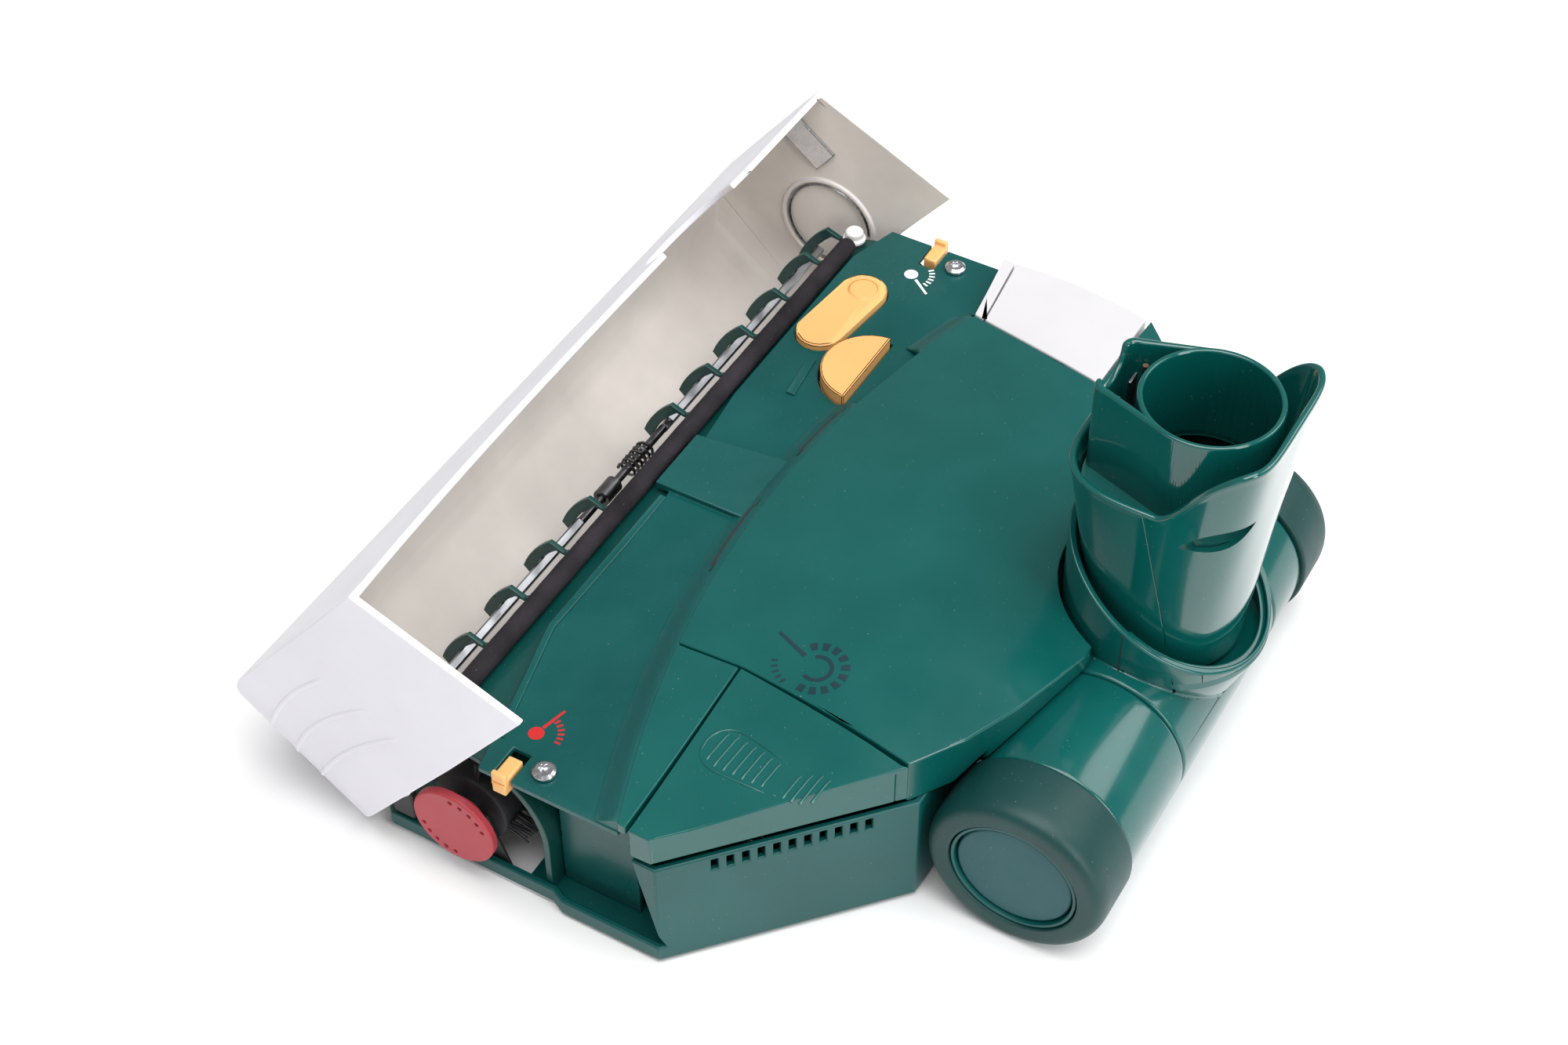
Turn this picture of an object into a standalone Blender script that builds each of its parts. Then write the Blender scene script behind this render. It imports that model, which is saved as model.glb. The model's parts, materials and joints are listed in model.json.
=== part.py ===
"""Powered carpet-brush head: a brush tunnel and motor in a low housing on two rear wheels, with a
hinged front bumper, two foot switches and a tilting, swivelling neck that holds the suction spigot.

Frame: +X to the right-hand end, +Y to the front bumper, +Z up. The origin is on the flat underside
of the steel sole plate. The bumper is modelled shut and then swung open on its hinge.
"""

import math

import bmesh
import bpy
from mathutils import Matrix, Vector

# ---- Overall sizes, in metres --------------------------------------------------------------------
GAP = 0.0004                     # play between two pieces that meet
WALL = 0.0025                    # wall of the moulded housings
BODY_HALF = 0.152                # half the width of the housing
BODY_FRONT = 0.084               # front edge of the tray
BODY_REAR = -0.090               # rear wall of the tray
CHAMFER = 0.005                  # cut off the tray's front corners
CORNER_LEFT = (-BODY_HALF, -0.030)
CORNER_RIGHT = (BODY_HALF, -0.012)
REAR_LEFT = (-0.086, BODY_REAR)
FLANK_RIGHT = (BODY_HALF - 0.006, -0.062)
REAR_RIGHT = (0.112, BODY_REAR)
SIDE_TOP = 0.050                 # top of the tray's side walls

# ---- Sole, brush and tunnel ----------------------------------------------------------------------
SOLE_THICK = 0.0012
SOLE_FRONT = 0.082
BRUSH_Y = 0.0476
BRUSH_R = 0.0235                 # over the bristles
BRUSH_Z = BRUSH_R + 0.0025
BRUSH_CORE_R = 0.0150
BRUSH_INNER = 0.014              # inner end of each roller from the middle
BRUSH_OUTER = BODY_HALF - 0.007
TUNNEL_IN_R = BRUSH_R + 0.0070
TUNNEL_R = TUNNEL_IN_R + WALL
TUNNEL_HALF = BODY_HALF - 0.005
MOUTH_HALF = 0.0225              # half the mouth's depth, front to back
SHAFT_R = 0.0030
CAP_R = 0.0160                   # brush bearing discs
CAP_THICK = 0.0030
CAP_FACE = BODY_HALF + 0.0032
CAP_BACK = CAP_FACE - CAP_THICK
SHAFT_HALF = CAP_BACK - 0.0005
FIN_THICK = 0.0020
FIN_IN_R = TUNNEL_R + 0.0040
FIN_R = FIN_IN_R + 0.0040
FIN_FIRST = 0.028                # x of the first fin from the middle
FIN_PITCH = 0.025
FIN_LAST = BODY_HALF - 0.0065
FIN_STATIONS = [FIN_FIRST + FIN_PITCH * i for i in range(int((FIN_LAST - FIN_FIRST - 0.005) / FIN_PITCH) + 1)]
FIN_STATIONS.append(FIN_LAST)
BAR_ANGLE = math.radians(28)
BAR_THICK = 0.0034
ROD_R = 0.0016

# ---- Deck, cover and foot switches ---------------------------------------------------------------
DECK_LOW = BRUSH_Z + TUNNEL_R + GAP
DECK_THICK = 0.0022
DECK_TOP = DECK_LOW + DECK_THICK
DECK_FRONT = 0.0545
STRIP_R = 0.0036
STRIP_Y = 0.0590
COVER_EDGE = DECK_TOP + 0.0050   # height of the cover's front edge
COVER_RISE = 0.0090              # crown of the cover
COVER_LEFT = -0.078
COVER_RIGHT = 0.118
CURVE_MID = 0.0140               # y of the cover's front edge on the centre line
CURVE_DROP = 0.0310              # how far that edge falls back at the left end
RIGHT_SLOPE = 0.14               # how the edge comes forward again past the cover, to the right end
CHEEK_LEAN = 0.0155              # how far the side walls' front edges lean back, top to bottom

# ---- Wheels, drum and neck -----------------------------------------------------------------------
AXLE_Z = 0.032
WHEEL_R = AXLE_Z
AXLE_Y = BODY_REAR - WHEEL_R - 0.0020
WHEEL_WIDE = 0.024
DRUM_R = WHEEL_R - 0.0015
AXLE_R = 0.0040
NECK_X = 0.0225
CUP_R = 0.0360
YOKE_LEFT = NECK_X - CUP_R - 0.0045
YOKE_RIGHT = NECK_X + CUP_R + 0.0015
DRUM_LEFT = -0.062
DRUM_RIGHT = 0.085
NECK_Y = AXLE_Y - 0.0030
CUP_FRONT = 0.100
CUP_REAR = 0.060
NECK_FOOT_Z = 0.058
NECK_FOOT_R = 0.0260
RIM_REAR = 0.162
RIM_FRONT = RIM_REAR - 0.028
NECK_SIDES = 40
SPIGOT_R = 0.0235
SPIGOT_Y = NECK_Y - 0.0040
SPIGOT_TOP = RIM_REAR - 0.002
SPIGOT_FLOOR = RIM_REAR - 0.038

# ---- Bumper ---------------------------------------------------------------------------------------
HOOD_HALF = BODY_HALF + 0.007
HOOD_TAPER = 0.0034              # how much narrower the bumper is at its rear edge
HOOD_WALL = 0.0025
HOOD_FRONT = 0.094
HOOD_BOTTOM = 0.005
HOOD_TOP = COVER_EDGE + 0.0030
HOOD_CORNER = 0.022
HINGE_Y = 0.088
HINGE_Z = 0.0055
HOOD_OPEN = math.radians(52)
SCALLOP_R = 0.0215
CUP_IN_R = 0.0195                # the round cups inside the cheeks
CUP_FLOOR = HOOD_HALF - 0.0014
BAIL_R = 0.0006
PIN_R = 0.0016
PIN_END = BODY_HALF - 0.0008                 # outer end of each hinge pin
LUG_INNER = BODY_HALF - 0.023
LUG_R = 0.0026

GREEN = (0.006, 0.135, 0.105)
DARK_GREEN = (0.004, 0.085, 0.065)
ORANGE = (0.90, 0.44, 0.10)
STEEL = (0.45, 0.46, 0.48)
BLACK = (0.015, 0.014, 0.016)


# ---- Helpers --------------------------------------------------------------------------------------
def clear_scene():
    """Remove every object, so that the model starts from nothing."""
    for obj in list(bpy.data.objects):
        bpy.data.objects.remove(obj)


def new_collection(name):
    """Make a collection and link it to the scene."""
    made = bpy.data.collections.new(name)
    bpy.context.scene.collection.children.link(made)
    return made


clear_scene()
PARTS = new_collection("carpet_brush_head")
CUTTERS = new_collection("cutters")


def material(name, colour, roughness, metallic=0.0):
    """A Principled material with one colour."""
    made = bpy.data.materials.new(name)
    made.use_nodes = True
    shader = made.node_tree.nodes["Principled BSDF"]
    shader.inputs["Base Color"].default_value = (*colour, 1.0)
    shader.inputs["Roughness"].default_value = roughness
    shader.inputs["Metallic"].default_value = metallic
    return made


def part(obj, colour, roughness=0.4, metallic=0.0, smooth=True):
    """Put a finished piece in the parts collection with its own material."""
    for owner in list(obj.users_collection):
        owner.objects.unlink(obj)
    PARTS.objects.link(obj)
    obj.data.materials.clear()
    obj.data.materials.append(material(obj.name, colour, roughness, metallic))
    if smooth:
        obj.data.shade_smooth()
        obj.data.set_sharp_from_angle(angle=math.radians(35))
    return obj


def cutter(obj):
    """Keep a helper out of the render and show it as wire."""
    for owner in list(obj.users_collection):
        owner.objects.unlink(obj)
    CUTTERS.objects.link(obj)
    obj.hide_render = True
    obj.display_type = "WIRE"
    return obj


def mesh_object(name, bm):
    """Close a bmesh into a new object with its faces pointing out."""
    bmesh.ops.recalc_face_normals(bm, faces=bm.faces)
    mesh = bpy.data.meshes.new(name)
    bm.to_mesh(mesh)
    bm.free()
    obj = bpy.data.objects.new(name, mesh)
    bpy.context.scene.collection.objects.link(obj)
    return obj


def solid_from_curve(obj):
    """Turn a curve object into a closed mesh object of the same name."""
    name = obj.name
    bpy.context.view_layer.update()
    graph = bpy.context.evaluated_depsgraph_get()
    mesh = bpy.data.meshes.new_from_object(obj.evaluated_get(graph))
    mesh.transform(obj.matrix_world)
    bm = bmesh.new()
    bm.from_mesh(mesh)
    bmesh.ops.remove_doubles(bm, verts=bm.verts, dist=1e-6)
    bpy.data.objects.remove(obj)
    return mesh_object(name, bm)


AXES = {
    "X": Matrix(((0, 0, 1, 0), (1, 0, 0, 0), (0, 1, 0, 0), (0, 0, 0, 1))),
    "Y": Matrix(((0, 1, 0, 0), (0, 0, 1, 0), (1, 0, 0, 0), (0, 0, 0, 1))),
    "Z": Matrix.Identity(4),
}


def prism(name, outline, low, high, axis="Z"):
    """Extrude a flat outline from low to high: (x, y) along Z, (y, z) along X or (z, x) along Y."""
    curve = bpy.data.curves.new(name, "CURVE")
    curve.dimensions = "2D"
    curve.fill_mode = "BOTH"
    curve.extrude = (high - low) / 2
    spline = curve.splines.new("POLY")
    spline.points.add(len(outline) - 1)
    for point, place in zip(spline.points, outline):
        point.co = (*place, 0.0, 1.0)
    spline.use_cyclic_u = True
    obj = bpy.data.objects.new(name, curve)
    bpy.context.scene.collection.objects.link(obj)
    obj.matrix_world = AXES[axis] @ Matrix.Translation((0, 0, (low + high) / 2))
    return solid_from_curve(obj)


def box(name, low, high):
    """A box between two corners."""
    bm = bmesh.new()
    bmesh.ops.create_cube(bm, size=1.0)
    size = Vector(high) - Vector(low)
    centre = (Vector(high) + Vector(low)) / 2
    bmesh.ops.transform(bm, matrix=Matrix.LocRotScale(centre, None, size), verts=bm.verts)
    return mesh_object(name, bm)


def rod(name, start, end, radius, sides=24, radius_end=None):
    """A cylinder or cone between two points."""
    start, end = Vector(start), Vector(end)
    bm = bmesh.new()
    length = (end - start).length
    far = radius if radius_end is None else radius_end
    bmesh.ops.create_cone(bm, cap_ends=True, segments=sides, radius1=radius, radius2=far, depth=length)
    turn = (end - start).to_track_quat("Z", "Y")
    bmesh.ops.transform(bm, matrix=Matrix.LocRotScale((start + end) / 2, turn, None), verts=bm.verts)
    return mesh_object(name, bm)


def turned(name, profile, place, axis="Z", sides=36):
    """Turn a closed (radius, height) profile about an axis through place."""
    mesh = bpy.data.meshes.new(name)
    points = [(radius, 0.0, height) for radius, height in profile]
    edges = [(i, (i + 1) % len(points)) for i in range(len(points))]
    if profile[0][0] == 0.0:
        edges.pop()
    mesh.from_pydata(points, edges, [])
    obj = bpy.data.objects.new(name, mesh)
    bpy.context.scene.collection.objects.link(obj)
    screw = obj.modifiers.new("turn", "SCREW")
    screw.steps = sides
    screw.render_steps = sides
    screw.use_merge_vertices = True
    screw.merge_threshold = 0.00001
    obj.matrix_world = Matrix.Translation(place) @ AXES[axis]
    bpy.context.view_layer.update()
    graph = bpy.context.evaluated_depsgraph_get()
    made = bpy.data.meshes.new_from_object(obj.evaluated_get(graph))
    made.transform(obj.matrix_world)
    bm = bmesh.new()
    bm.from_mesh(made)
    bmesh.ops.remove_doubles(bm, verts=bm.verts, dist=1e-6)
    bpy.data.objects.remove(obj)
    return mesh_object(name, bm)


def loft(name, rings):
    """A closed body through rings of equal point count, capped at both ends."""
    bm = bmesh.new()
    rows = [[bm.verts.new(point) for point in ring] for ring in rings]
    for below, above in zip(rows, rows[1:]):
        for i in range(len(below)):
            j = (i + 1) % len(below)
            bm.faces.new((below[i], below[j], above[j], above[i]))
    bm.faces.new(rows[0][::-1])
    bm.faces.new(rows[-1])
    return mesh_object(name, bm)


def wire(name, points, radius, resolution=0):
    """A round wire through points, with filled ends."""
    curve = bpy.data.curves.new(name, "CURVE")
    curve.dimensions = "3D"
    curve.bevel_depth = radius
    curve.bevel_resolution = resolution
    curve.use_fill_caps = True
    spline = curve.splines.new("POLY")
    spline.points.add(len(points) - 1)
    for point, place in zip(spline.points, points):
        point.co = (*place, 1.0)
    obj = bpy.data.objects.new(name, curve)
    bpy.context.scene.collection.objects.link(obj)
    return solid_from_curve(obj)


def settle(obj):
    """Apply an object's modifiers to its mesh."""
    bpy.context.view_layer.update()
    graph = bpy.context.evaluated_depsgraph_get()
    mesh = bpy.data.meshes.new_from_object(obj.evaluated_get(graph))
    obj.modifiers.clear()
    obj.data = mesh
    return obj


def combine(obj, others, operation):
    """Cut, join or intersect an object with helpers, which are then removed."""
    for other in others:
        step = obj.modifiers.new("shape", "BOOLEAN")
        step.operation = operation
        step.object = cutter(other)
    settle(obj)
    for other in others:
        bpy.data.objects.remove(other)
    return obj


def cut(obj, *others):
    """Take helpers away from an object."""
    return combine(obj, others, "DIFFERENCE")


def join(obj, *others):
    """Add helpers to an object as one body."""
    return combine(obj, others, "UNION")


def common(obj, *others):
    """Keep what an object shares with helpers."""
    return combine(obj, others, "INTERSECT")


def soften(obj, width, segments=2, limit=40):
    """Round an object's sharp edges."""
    bevel = obj.modifiers.new("round", "BEVEL")
    bevel.width = width
    bevel.segments = segments
    bevel.limit_method = "ANGLE"
    bevel.angle_limit = math.radians(limit)
    bevel.use_clamp_overlap = True
    return settle(obj)


def pivot_at(obj, point):
    """Move an object's origin to a point on its joint's axis."""
    obj.data.transform(Matrix.Translation(-Vector(point)))
    obj.location = point
    return obj


def arc(centre, radius, start, end, steps):
    """Points on an arc, in degrees, both ends included."""
    points = []
    for i in range(steps + 1):
        turn = math.radians(start + (end - start) * i / steps)
        points.append((centre[0] + radius * math.cos(turn), centre[1] + radius * math.sin(turn)))
    return points


def circle(centre, radius, sides=32):
    """Points round a circle."""
    return arc(centre, radius, 0, 360 - 360 / sides, sides - 1)


def front_edge(x):
    """The y of the cover's front edge at x: a shallow parabola, then a straight run on the right."""
    curve = CURVE_MID - CURVE_DROP * (min(x, COVER_RIGHT) / BODY_HALF) ** 2
    return curve + RIGHT_SLOPE * max(x - COVER_RIGHT, 0.0)


def cover_height(x, y):
    """The height of the crowned top skin at (x, y)."""
    side = 1 - ((x - 0.02) / 0.150) ** 2
    depth = min(max((front_edge(x) - y) / 0.075, 0.0), 1.0)
    fall = min(max((-0.060 - y) / 0.060, 0.0), 1.0)
    return COVER_EDGE + COVER_RISE * side * math.sin(depth * math.pi / 2) - 0.007 * fall ** 2


def inset(outline, amount):
    """Move each side of a convex outline inwards by an amount."""
    area = sum(a[0] * b[1] - b[0] * a[1] for a, b in zip(outline, outline[1:] + outline[:1]))
    way = 1.0 if area > 0 else -1.0
    moved = []
    for i, here in enumerate(outline):
        before, after = Vector(outline[i - 1]), Vector(outline[(i + 1) % len(outline)])
        here = Vector(here)
        first, second = (here - before).normalized(), (after - here).normalized()
        left = Vector((-first.y, first.x)) * way
        right = Vector((-second.y, second.x)) * way
        middle = (left + right).normalized()
        moved.append(tuple(here + middle * amount / max(middle.dot(left), 0.3)))
    return moved


# ---- Sole and tray --------------------------------------------------------------------------------
def body_outline():
    """The tray seen from above, anticlockwise from the front right."""
    nose = BODY_HALF - 0.0024
    return [(BODY_HALF, 0.0080), (nose, 0.0130), (nose, BODY_FRONT - CHAMFER), (nose - CHAMFER, BODY_FRONT),
            (CHAMFER - nose, BODY_FRONT), (-nose, BODY_FRONT - CHAMFER), (-nose, 0.0130),
            (-BODY_HALF, 0.0080),
            CORNER_LEFT, REAR_LEFT, REAR_RIGHT,
            FLANK_RIGHT, CORNER_RIGHT]


def mouths(low, high):
    """The two openings that the brush rollers reach the carpet through."""
    made = []
    for side in (-1, 1):
        near, far = sorted((side * (BRUSH_INNER - 0.001), side * (BRUSH_OUTER + 0.0003)))
        made.append(box("mouth", (near, BRUSH_Y - MOUTH_HALF, low), (far, BRUSH_Y + MOUTH_HALF, high)))
    return made


def sole_plate():
    """The steel plate that slides on the carpet."""
    edge = BODY_HALF - 0.003
    outline = [(edge, SOLE_FRONT), (-edge, SOLE_FRONT), (-edge, -0.022), (-0.120, -0.050), (0.120, -0.050),
               (edge, -0.022)]
    plate = prism("sole_plate", outline, 0.0, SOLE_THICK)
    cut(plate, *mouths(-0.01, 0.01))
    return part(plate, STEEL, 0.25, 1.0)


def lower_tray():
    """Floor and side walls of the housing, open over the front where the bumper covers it."""
    floor = SOLE_THICK + GAP
    outline = body_outline()
    tray = prism("lower_tray", outline, floor, SIDE_TOP)
    hollow = prism("hollow", inset(outline, WALL), floor + WALL, SIDE_TOP + 0.01)
    fronts = [side_front("front_cut", side, 0.0, floor + 0.0065, SIDE_TOP + 0.02, BODY_FRONT + 0.01)
              for side in (-1, 1)]
    duct = rod("duct_hole", (NECK_X, BODY_REAR - 0.01, AXLE_Z), (NECK_X, BODY_REAR + 0.01, AXLE_Z),
               0.0185, 32)
    cut(tray, hollow, duct, *fronts, *mouths(0.0, 0.02))
    cut(tray, *vent_slots())
    return part(tray, GREEN, 0.25)


def side_front(name, side, shift, low, high, reach):
    """A block ahead of one side wall's leaning front edge, or behind it where reach is to the rear."""
    top_y = front_edge(side * BODY_HALF) + shift
    lean = CHEEK_LEAN / (COVER_EDGE - HOOD_BOTTOM)
    outline = [(top_y - lean * (COVER_EDGE - low), low), (reach, low), (reach, high),
               (top_y - lean * (COVER_EDGE - high), high)]
    near, far = sorted((0.0, side * 0.2))
    return prism(name, outline, near, far, "X")


def vent_slots():
    """A row of cooling slots through the left flank, under the lip of the foot switch."""
    start, end = Vector(CORNER_LEFT), Vector(REAR_LEFT)
    run = (end - start).normalized()
    slots = []
    for i in range(11):
        spot = start + run * (0.020 + i * 0.0052)
        slot = box("slot", (-0.0012, -0.006, SIDE_TOP - 0.0072), (0.0012, 0.006, SIDE_TOP - 0.0018))
        turn = math.atan2(run.y, run.x)
        slot.data.transform(Matrix.Translation((spot.x, spot.y, 0)) @ Matrix.Rotation(turn, 4, "Z"))
        slots.append(slot)
    return slots


# ---- Tunnel, fins and seals -----------------------------------------------------------------------
def tunnel_profile():
    """Cross-section of the arch over the brushes, (y, z)."""
    floor = SOLE_THICK + GAP + WALL + GAP
    centre = (BRUSH_Y, BRUSH_Z)
    outer = arc(centre, TUNNEL_R, 62, 180, 14)
    inner = arc(centre, TUNNEL_IN_R, 180, 62, 14)
    return outer + [(BRUSH_Y - TUNNEL_R, floor), (BRUSH_Y - TUNNEL_IN_R, floor)] + inner


def fin_profile():
    """One guard fin: a curved finger that reaches over the front of the brushes."""
    centre = (BRUSH_Y, BRUSH_Z)
    root = arc(centre, TUNNEL_IN_R + 0.0008, 70, 60, 2)
    inner = arc(centre, FIN_IN_R, 50, 16, 5)
    outer = arc(centre, FIN_R, 19, 50, 6)
    shoulder = arc(centre, FIN_IN_R - 0.0015, 55, 58, 1)
    return root + inner + outer + shoulder + arc(centre, TUNNEL_R - 0.0002, 61, 70, 2)


def brush_tunnel():
    """The arch over the brushes with its row of guard fins."""
    tunnel = prism("brush_tunnel", tunnel_profile(), -TUNNEL_HALF, TUNNEL_HALF, "X")
    fins = []
    for side in (-1, 1):
        for station in FIN_STATIONS:
            x = side * station
            fins.append(prism("fin", fin_profile(), x - FIN_THICK / 2, x + FIN_THICK / 2, "X"))
    join(tunnel, *fins)
    window = box("belt_window", (-0.010, BRUSH_Y - TUNNEL_R - 0.01, 0.008), (0.010, BRUSH_Y - 0.02, 0.044))
    dust = rod("dust_window", (DUCT_X, BRUSH_Y - TUNNEL_R - 0.01, BRUSH_Z),
               (DUCT_X, BRUSH_Y - 0.02, BRUSH_Z), 0.0135, 24)
    cut(tunnel, window, dust)
    return part(tunnel, GREEN, 0.3)


def on_bar(radial=0.0, along=0.0):
    """The (y, z) of the guard bar's middle, moved out from the brush axis and round it."""
    radius = (TUNNEL_R + FIN_IN_R) / 2 + radial
    return (BRUSH_Y + radius * math.cos(BAR_ANGLE) - along * math.sin(BAR_ANGLE),
            BRUSH_Z + radius * math.sin(BAR_ANGLE) + along * math.cos(BAR_ANGLE))


def guard_bar(name, side):
    """A flat steel bar behind the fins on one side."""
    near, far = sorted((side * (FIN_FIRST + 0.002), side * (FIN_LAST + 0.0005)))
    bar = box(name, (near, -BAR_THICK / 2, -0.0045), (far, BAR_THICK / 2, 0.0045))
    y, z = on_bar()
    bar.data.transform(Matrix.Translation((0, y, z)) @ Matrix.Rotation(BAR_ANGLE, 4, "X"))
    soften(bar, 0.0006, 1)
    return part(bar, STEEL, 0.25, 1.0)


def sensor_rod():
    """The thin steel rod in the middle bay, between the two guard bars."""
    y, z = on_bar()
    half = FIN_FIRST + 0.0008
    shaft = rod("sensor_rod", (-half, y, z), (half, y, z), ROD_R, 12)
    return pivot_at(part(shaft, STEEL, 0.3, 1.0), (0, y, z))


def sensor_lever():
    """The cranked steel lever on the rod, with its clamp."""
    y, z = on_bar()
    bore = ROD_R + GAP
    ring = [(bore, -0.0045), (bore + 0.0014, -0.0045), (bore + 0.0014, 0.0045), (bore, 0.0045)]
    lever = turned("sensor_lever", ring, (-0.010, y, z), "X", 16)
    tip_y, tip_z = on_bar(0.0005, -0.0110)
    finger_y, finger_z = on_bar(0.0010, 0.0035)
    finger = rod("finger", (-0.010, finger_y, finger_z - 0.001), (-0.016, tip_y, tip_z), 0.0012, 8)
    join(lever, finger)
    hole = rod("hole", (-0.02, y, z), (0.02, y, z), bore, 16)
    cut(lever, hole)
    return pivot_at(part(lever, STEEL, 0.35, 1.0), (0, y, z))


def sensor_spring():
    """The coil spring round the rod."""
    y, z = on_bar()
    turns, radius = 6, ROD_R + 0.0017
    start, length = 0.002, 0.0150
    points = []
    for i in range(turns * 9 + 1):
        turn = 2 * math.pi * i / 9
        points.append((start + length * i / (turns * 9), y + radius * math.cos(turn),
                       z + radius * math.sin(turn)))
    return part(wire("sensor_spring", points, 0.0006), STEEL, 0.3, 1.0)


def seal_strip():
    """The black felt-covered strip on the shoulder of the tunnel."""
    drop = math.sqrt(TUNNEL_R ** 2 - (STRIP_Y - BRUSH_Y) ** 2)
    centre = (STRIP_Y + 0.0006, BRUSH_Z + drop + STRIP_R + 0.0004)
    strip = prism("seal_strip", circle(centre, STRIP_R, 14), -(BODY_HALF - 0.0045), BODY_HALF - 0.015, "X")
    return part(strip, BLACK, 0.9)


# ---- Brushes and drive ----------------------------------------------------------------------------
def brush_roller(name, side):
    """A roller with four spiral rows of bristles."""
    rings = []
    steps = 14
    for i in range(steps + 1):
        x = side * (BRUSH_INNER + (BRUSH_OUTER - BRUSH_INNER) * i / steps)
        twist = side * math.radians(80) * i / steps
        ring = []
        for k in range(24):
            turn = 2 * math.pi * k / 24
            lobe = max(math.cos(4 * turn), 0.0) ** 1.5
            radius = BRUSH_CORE_R + (BRUSH_R - BRUSH_CORE_R) * lobe
            angle = turn + twist
            ring.append((x, BRUSH_Y + radius * math.cos(angle), BRUSH_Z + radius * math.sin(angle)))
        rings.append(ring)
    roller = loft(name, rings)
    bore = rod("bore", (side * 0.001, BRUSH_Y, BRUSH_Z), (side * (BRUSH_OUTER + 0.015), BRUSH_Y, BRUSH_Z),
               SHAFT_R + GAP, 16)
    cut(roller, bore)
    return pivot_at(part(roller, BLACK, 0.8), (side * BRUSH_INNER, BRUSH_Y, BRUSH_Z))


def drive_shaft():
    """The steel shaft through both rollers and the driven pulley."""
    shaft = rod("brush_shaft", (-SHAFT_HALF, BRUSH_Y, BRUSH_Z), (SHAFT_HALF, BRUSH_Y, BRUSH_Z), SHAFT_R, 16)
    return pivot_at(part(shaft, STEEL, 0.3, 1.0), (0, BRUSH_Y, BRUSH_Z))


def bearing_cap(name, side, colour):
    """A brush bearing: a disc with ten small holes on a short hub."""
    face = CAP_FACE
    back = face - CAP_THICK
    profile = [(SHAFT_R + GAP, back - 0.0045), (0.0085, back - 0.0045), (0.0085, back), (CAP_R, back),
               (CAP_R, face - 0.0006), (CAP_R - 0.0006, face), (0.0, face), (0.0, back + 0.0005),
               (SHAFT_R + GAP, back + 0.0005)]
    flipped = [(radius, side * x) for radius, x in profile]
    cap = turned(name, flipped, (0, BRUSH_Y, BRUSH_Z), "X", 32)
    holes = []
    for base in (90, 270):
        for i in range(5):
            angle = math.radians(base + 35 + (i - 2) * 17)
            y = BRUSH_Y + 0.0130 * math.cos(angle)
            z = BRUSH_Z + 0.0130 * math.sin(angle)
            holes.append(rod("hole", (side * (back + 0.0012), y, z), (side * (face + 0.002), y, z), 0.0009, 8))
    cut(cap, *holes)
    return pivot_at(part(cap, colour, 0.45), (side * back, BRUSH_Y, BRUSH_Z))


def pulley(name, x, y, z, radius, bore):
    """A flanged belt pulley on an X axis."""
    half = 0.0058
    rim = radius + 0.0012
    profile = [(bore, -half), (rim, -half), (rim, -half + 0.001), (radius, -half + 0.001),
               (radius, half - 0.001), (rim, half - 0.001), (rim, half), (bore, half)]
    wheel = turned(name, profile, (x, y, z), "X", 28)
    return pivot_at(part(wheel, (0.05, 0.05, 0.05), 0.4), (x, y, z))


DUCT_X = 0.030
DUCT_R = 0.0150
MOTOR_Y = -0.046
MOTOR_Z = 0.031
MOTOR_R = 0.0185
MOTOR_SHAFT_R = 0.0020
BIG_PULLEY = 0.0130
SMALL_PULLEY = 0.0065
BELT = 0.0012


def drive_belt():
    """The flat belt round both pulleys: two arcs joined by straight runs."""
    def loop(extra):
        big, small = BIG_PULLEY + extra, SMALL_PULLEY + extra
        run = math.dist((BRUSH_Y, BRUSH_Z), (MOTOR_Y, MOTOR_Z))
        lean = math.degrees(math.atan2(BRUSH_Z - MOTOR_Z, BRUSH_Y - MOTOR_Y))
        spread = math.degrees(math.acos((big - small) / run))
        around = arc((BRUSH_Y, BRUSH_Z), big, lean - spread, lean + spread, 14)
        back = arc((MOTOR_Y, MOTOR_Z), small, lean + spread, lean + 360 - spread, 10)
        return around + back
    belt = prism("drive_belt", loop(GAP + BELT), -0.0040, 0.0040, "X")
    cut(belt, prism("inside", loop(GAP), -0.006, 0.006, "X"))
    return part(belt, BLACK, 0.7)


def motor():
    """The motor can with its end bosses."""
    profile = [(0.0, -0.0128), (0.007, -0.0128), (0.007, -0.016), (MOTOR_R, -0.016), (MOTOR_R, -0.066),
               (0.007, -0.066), (0.007, -0.070), (0.0, -0.070)]
    can = turned("motor", profile, (0, MOTOR_Y, MOTOR_Z), "X", 28)
    return part(can, (0.35, 0.35, 0.36), 0.35, 1.0)


def motor_pulley():
    """The small pulley on the motor's steel shaft."""
    shaft = rod("shaft", (-0.0124, MOTOR_Y, MOTOR_Z), (0.0095, MOTOR_Y, MOTOR_Z), MOTOR_SHAFT_R, 14)
    return join(pulley("motor_pulley", 0, MOTOR_Y, MOTOR_Z, SMALL_PULLEY, MOTOR_SHAFT_R - 0.0002), shaft)


def circuit_board():
    """The speed control board, standing beside the motor."""
    floor = SOLE_THICK + 2 * GAP + WALL
    board = box("circuit_board", (0.062, -0.0520, floor + 0.004), (0.118, -0.0504, floor + 0.034))
    block = box("block", (0.070, -0.0510, floor + 0.008), (0.090, -0.0400, floor + 0.022))
    foot = box("foot", (0.066, -0.0540, floor), (0.114, -0.0480, floor + 0.006))
    join(board, block, foot)
    return part(board, (0.02, 0.16, 0.05), 0.5)


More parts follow.
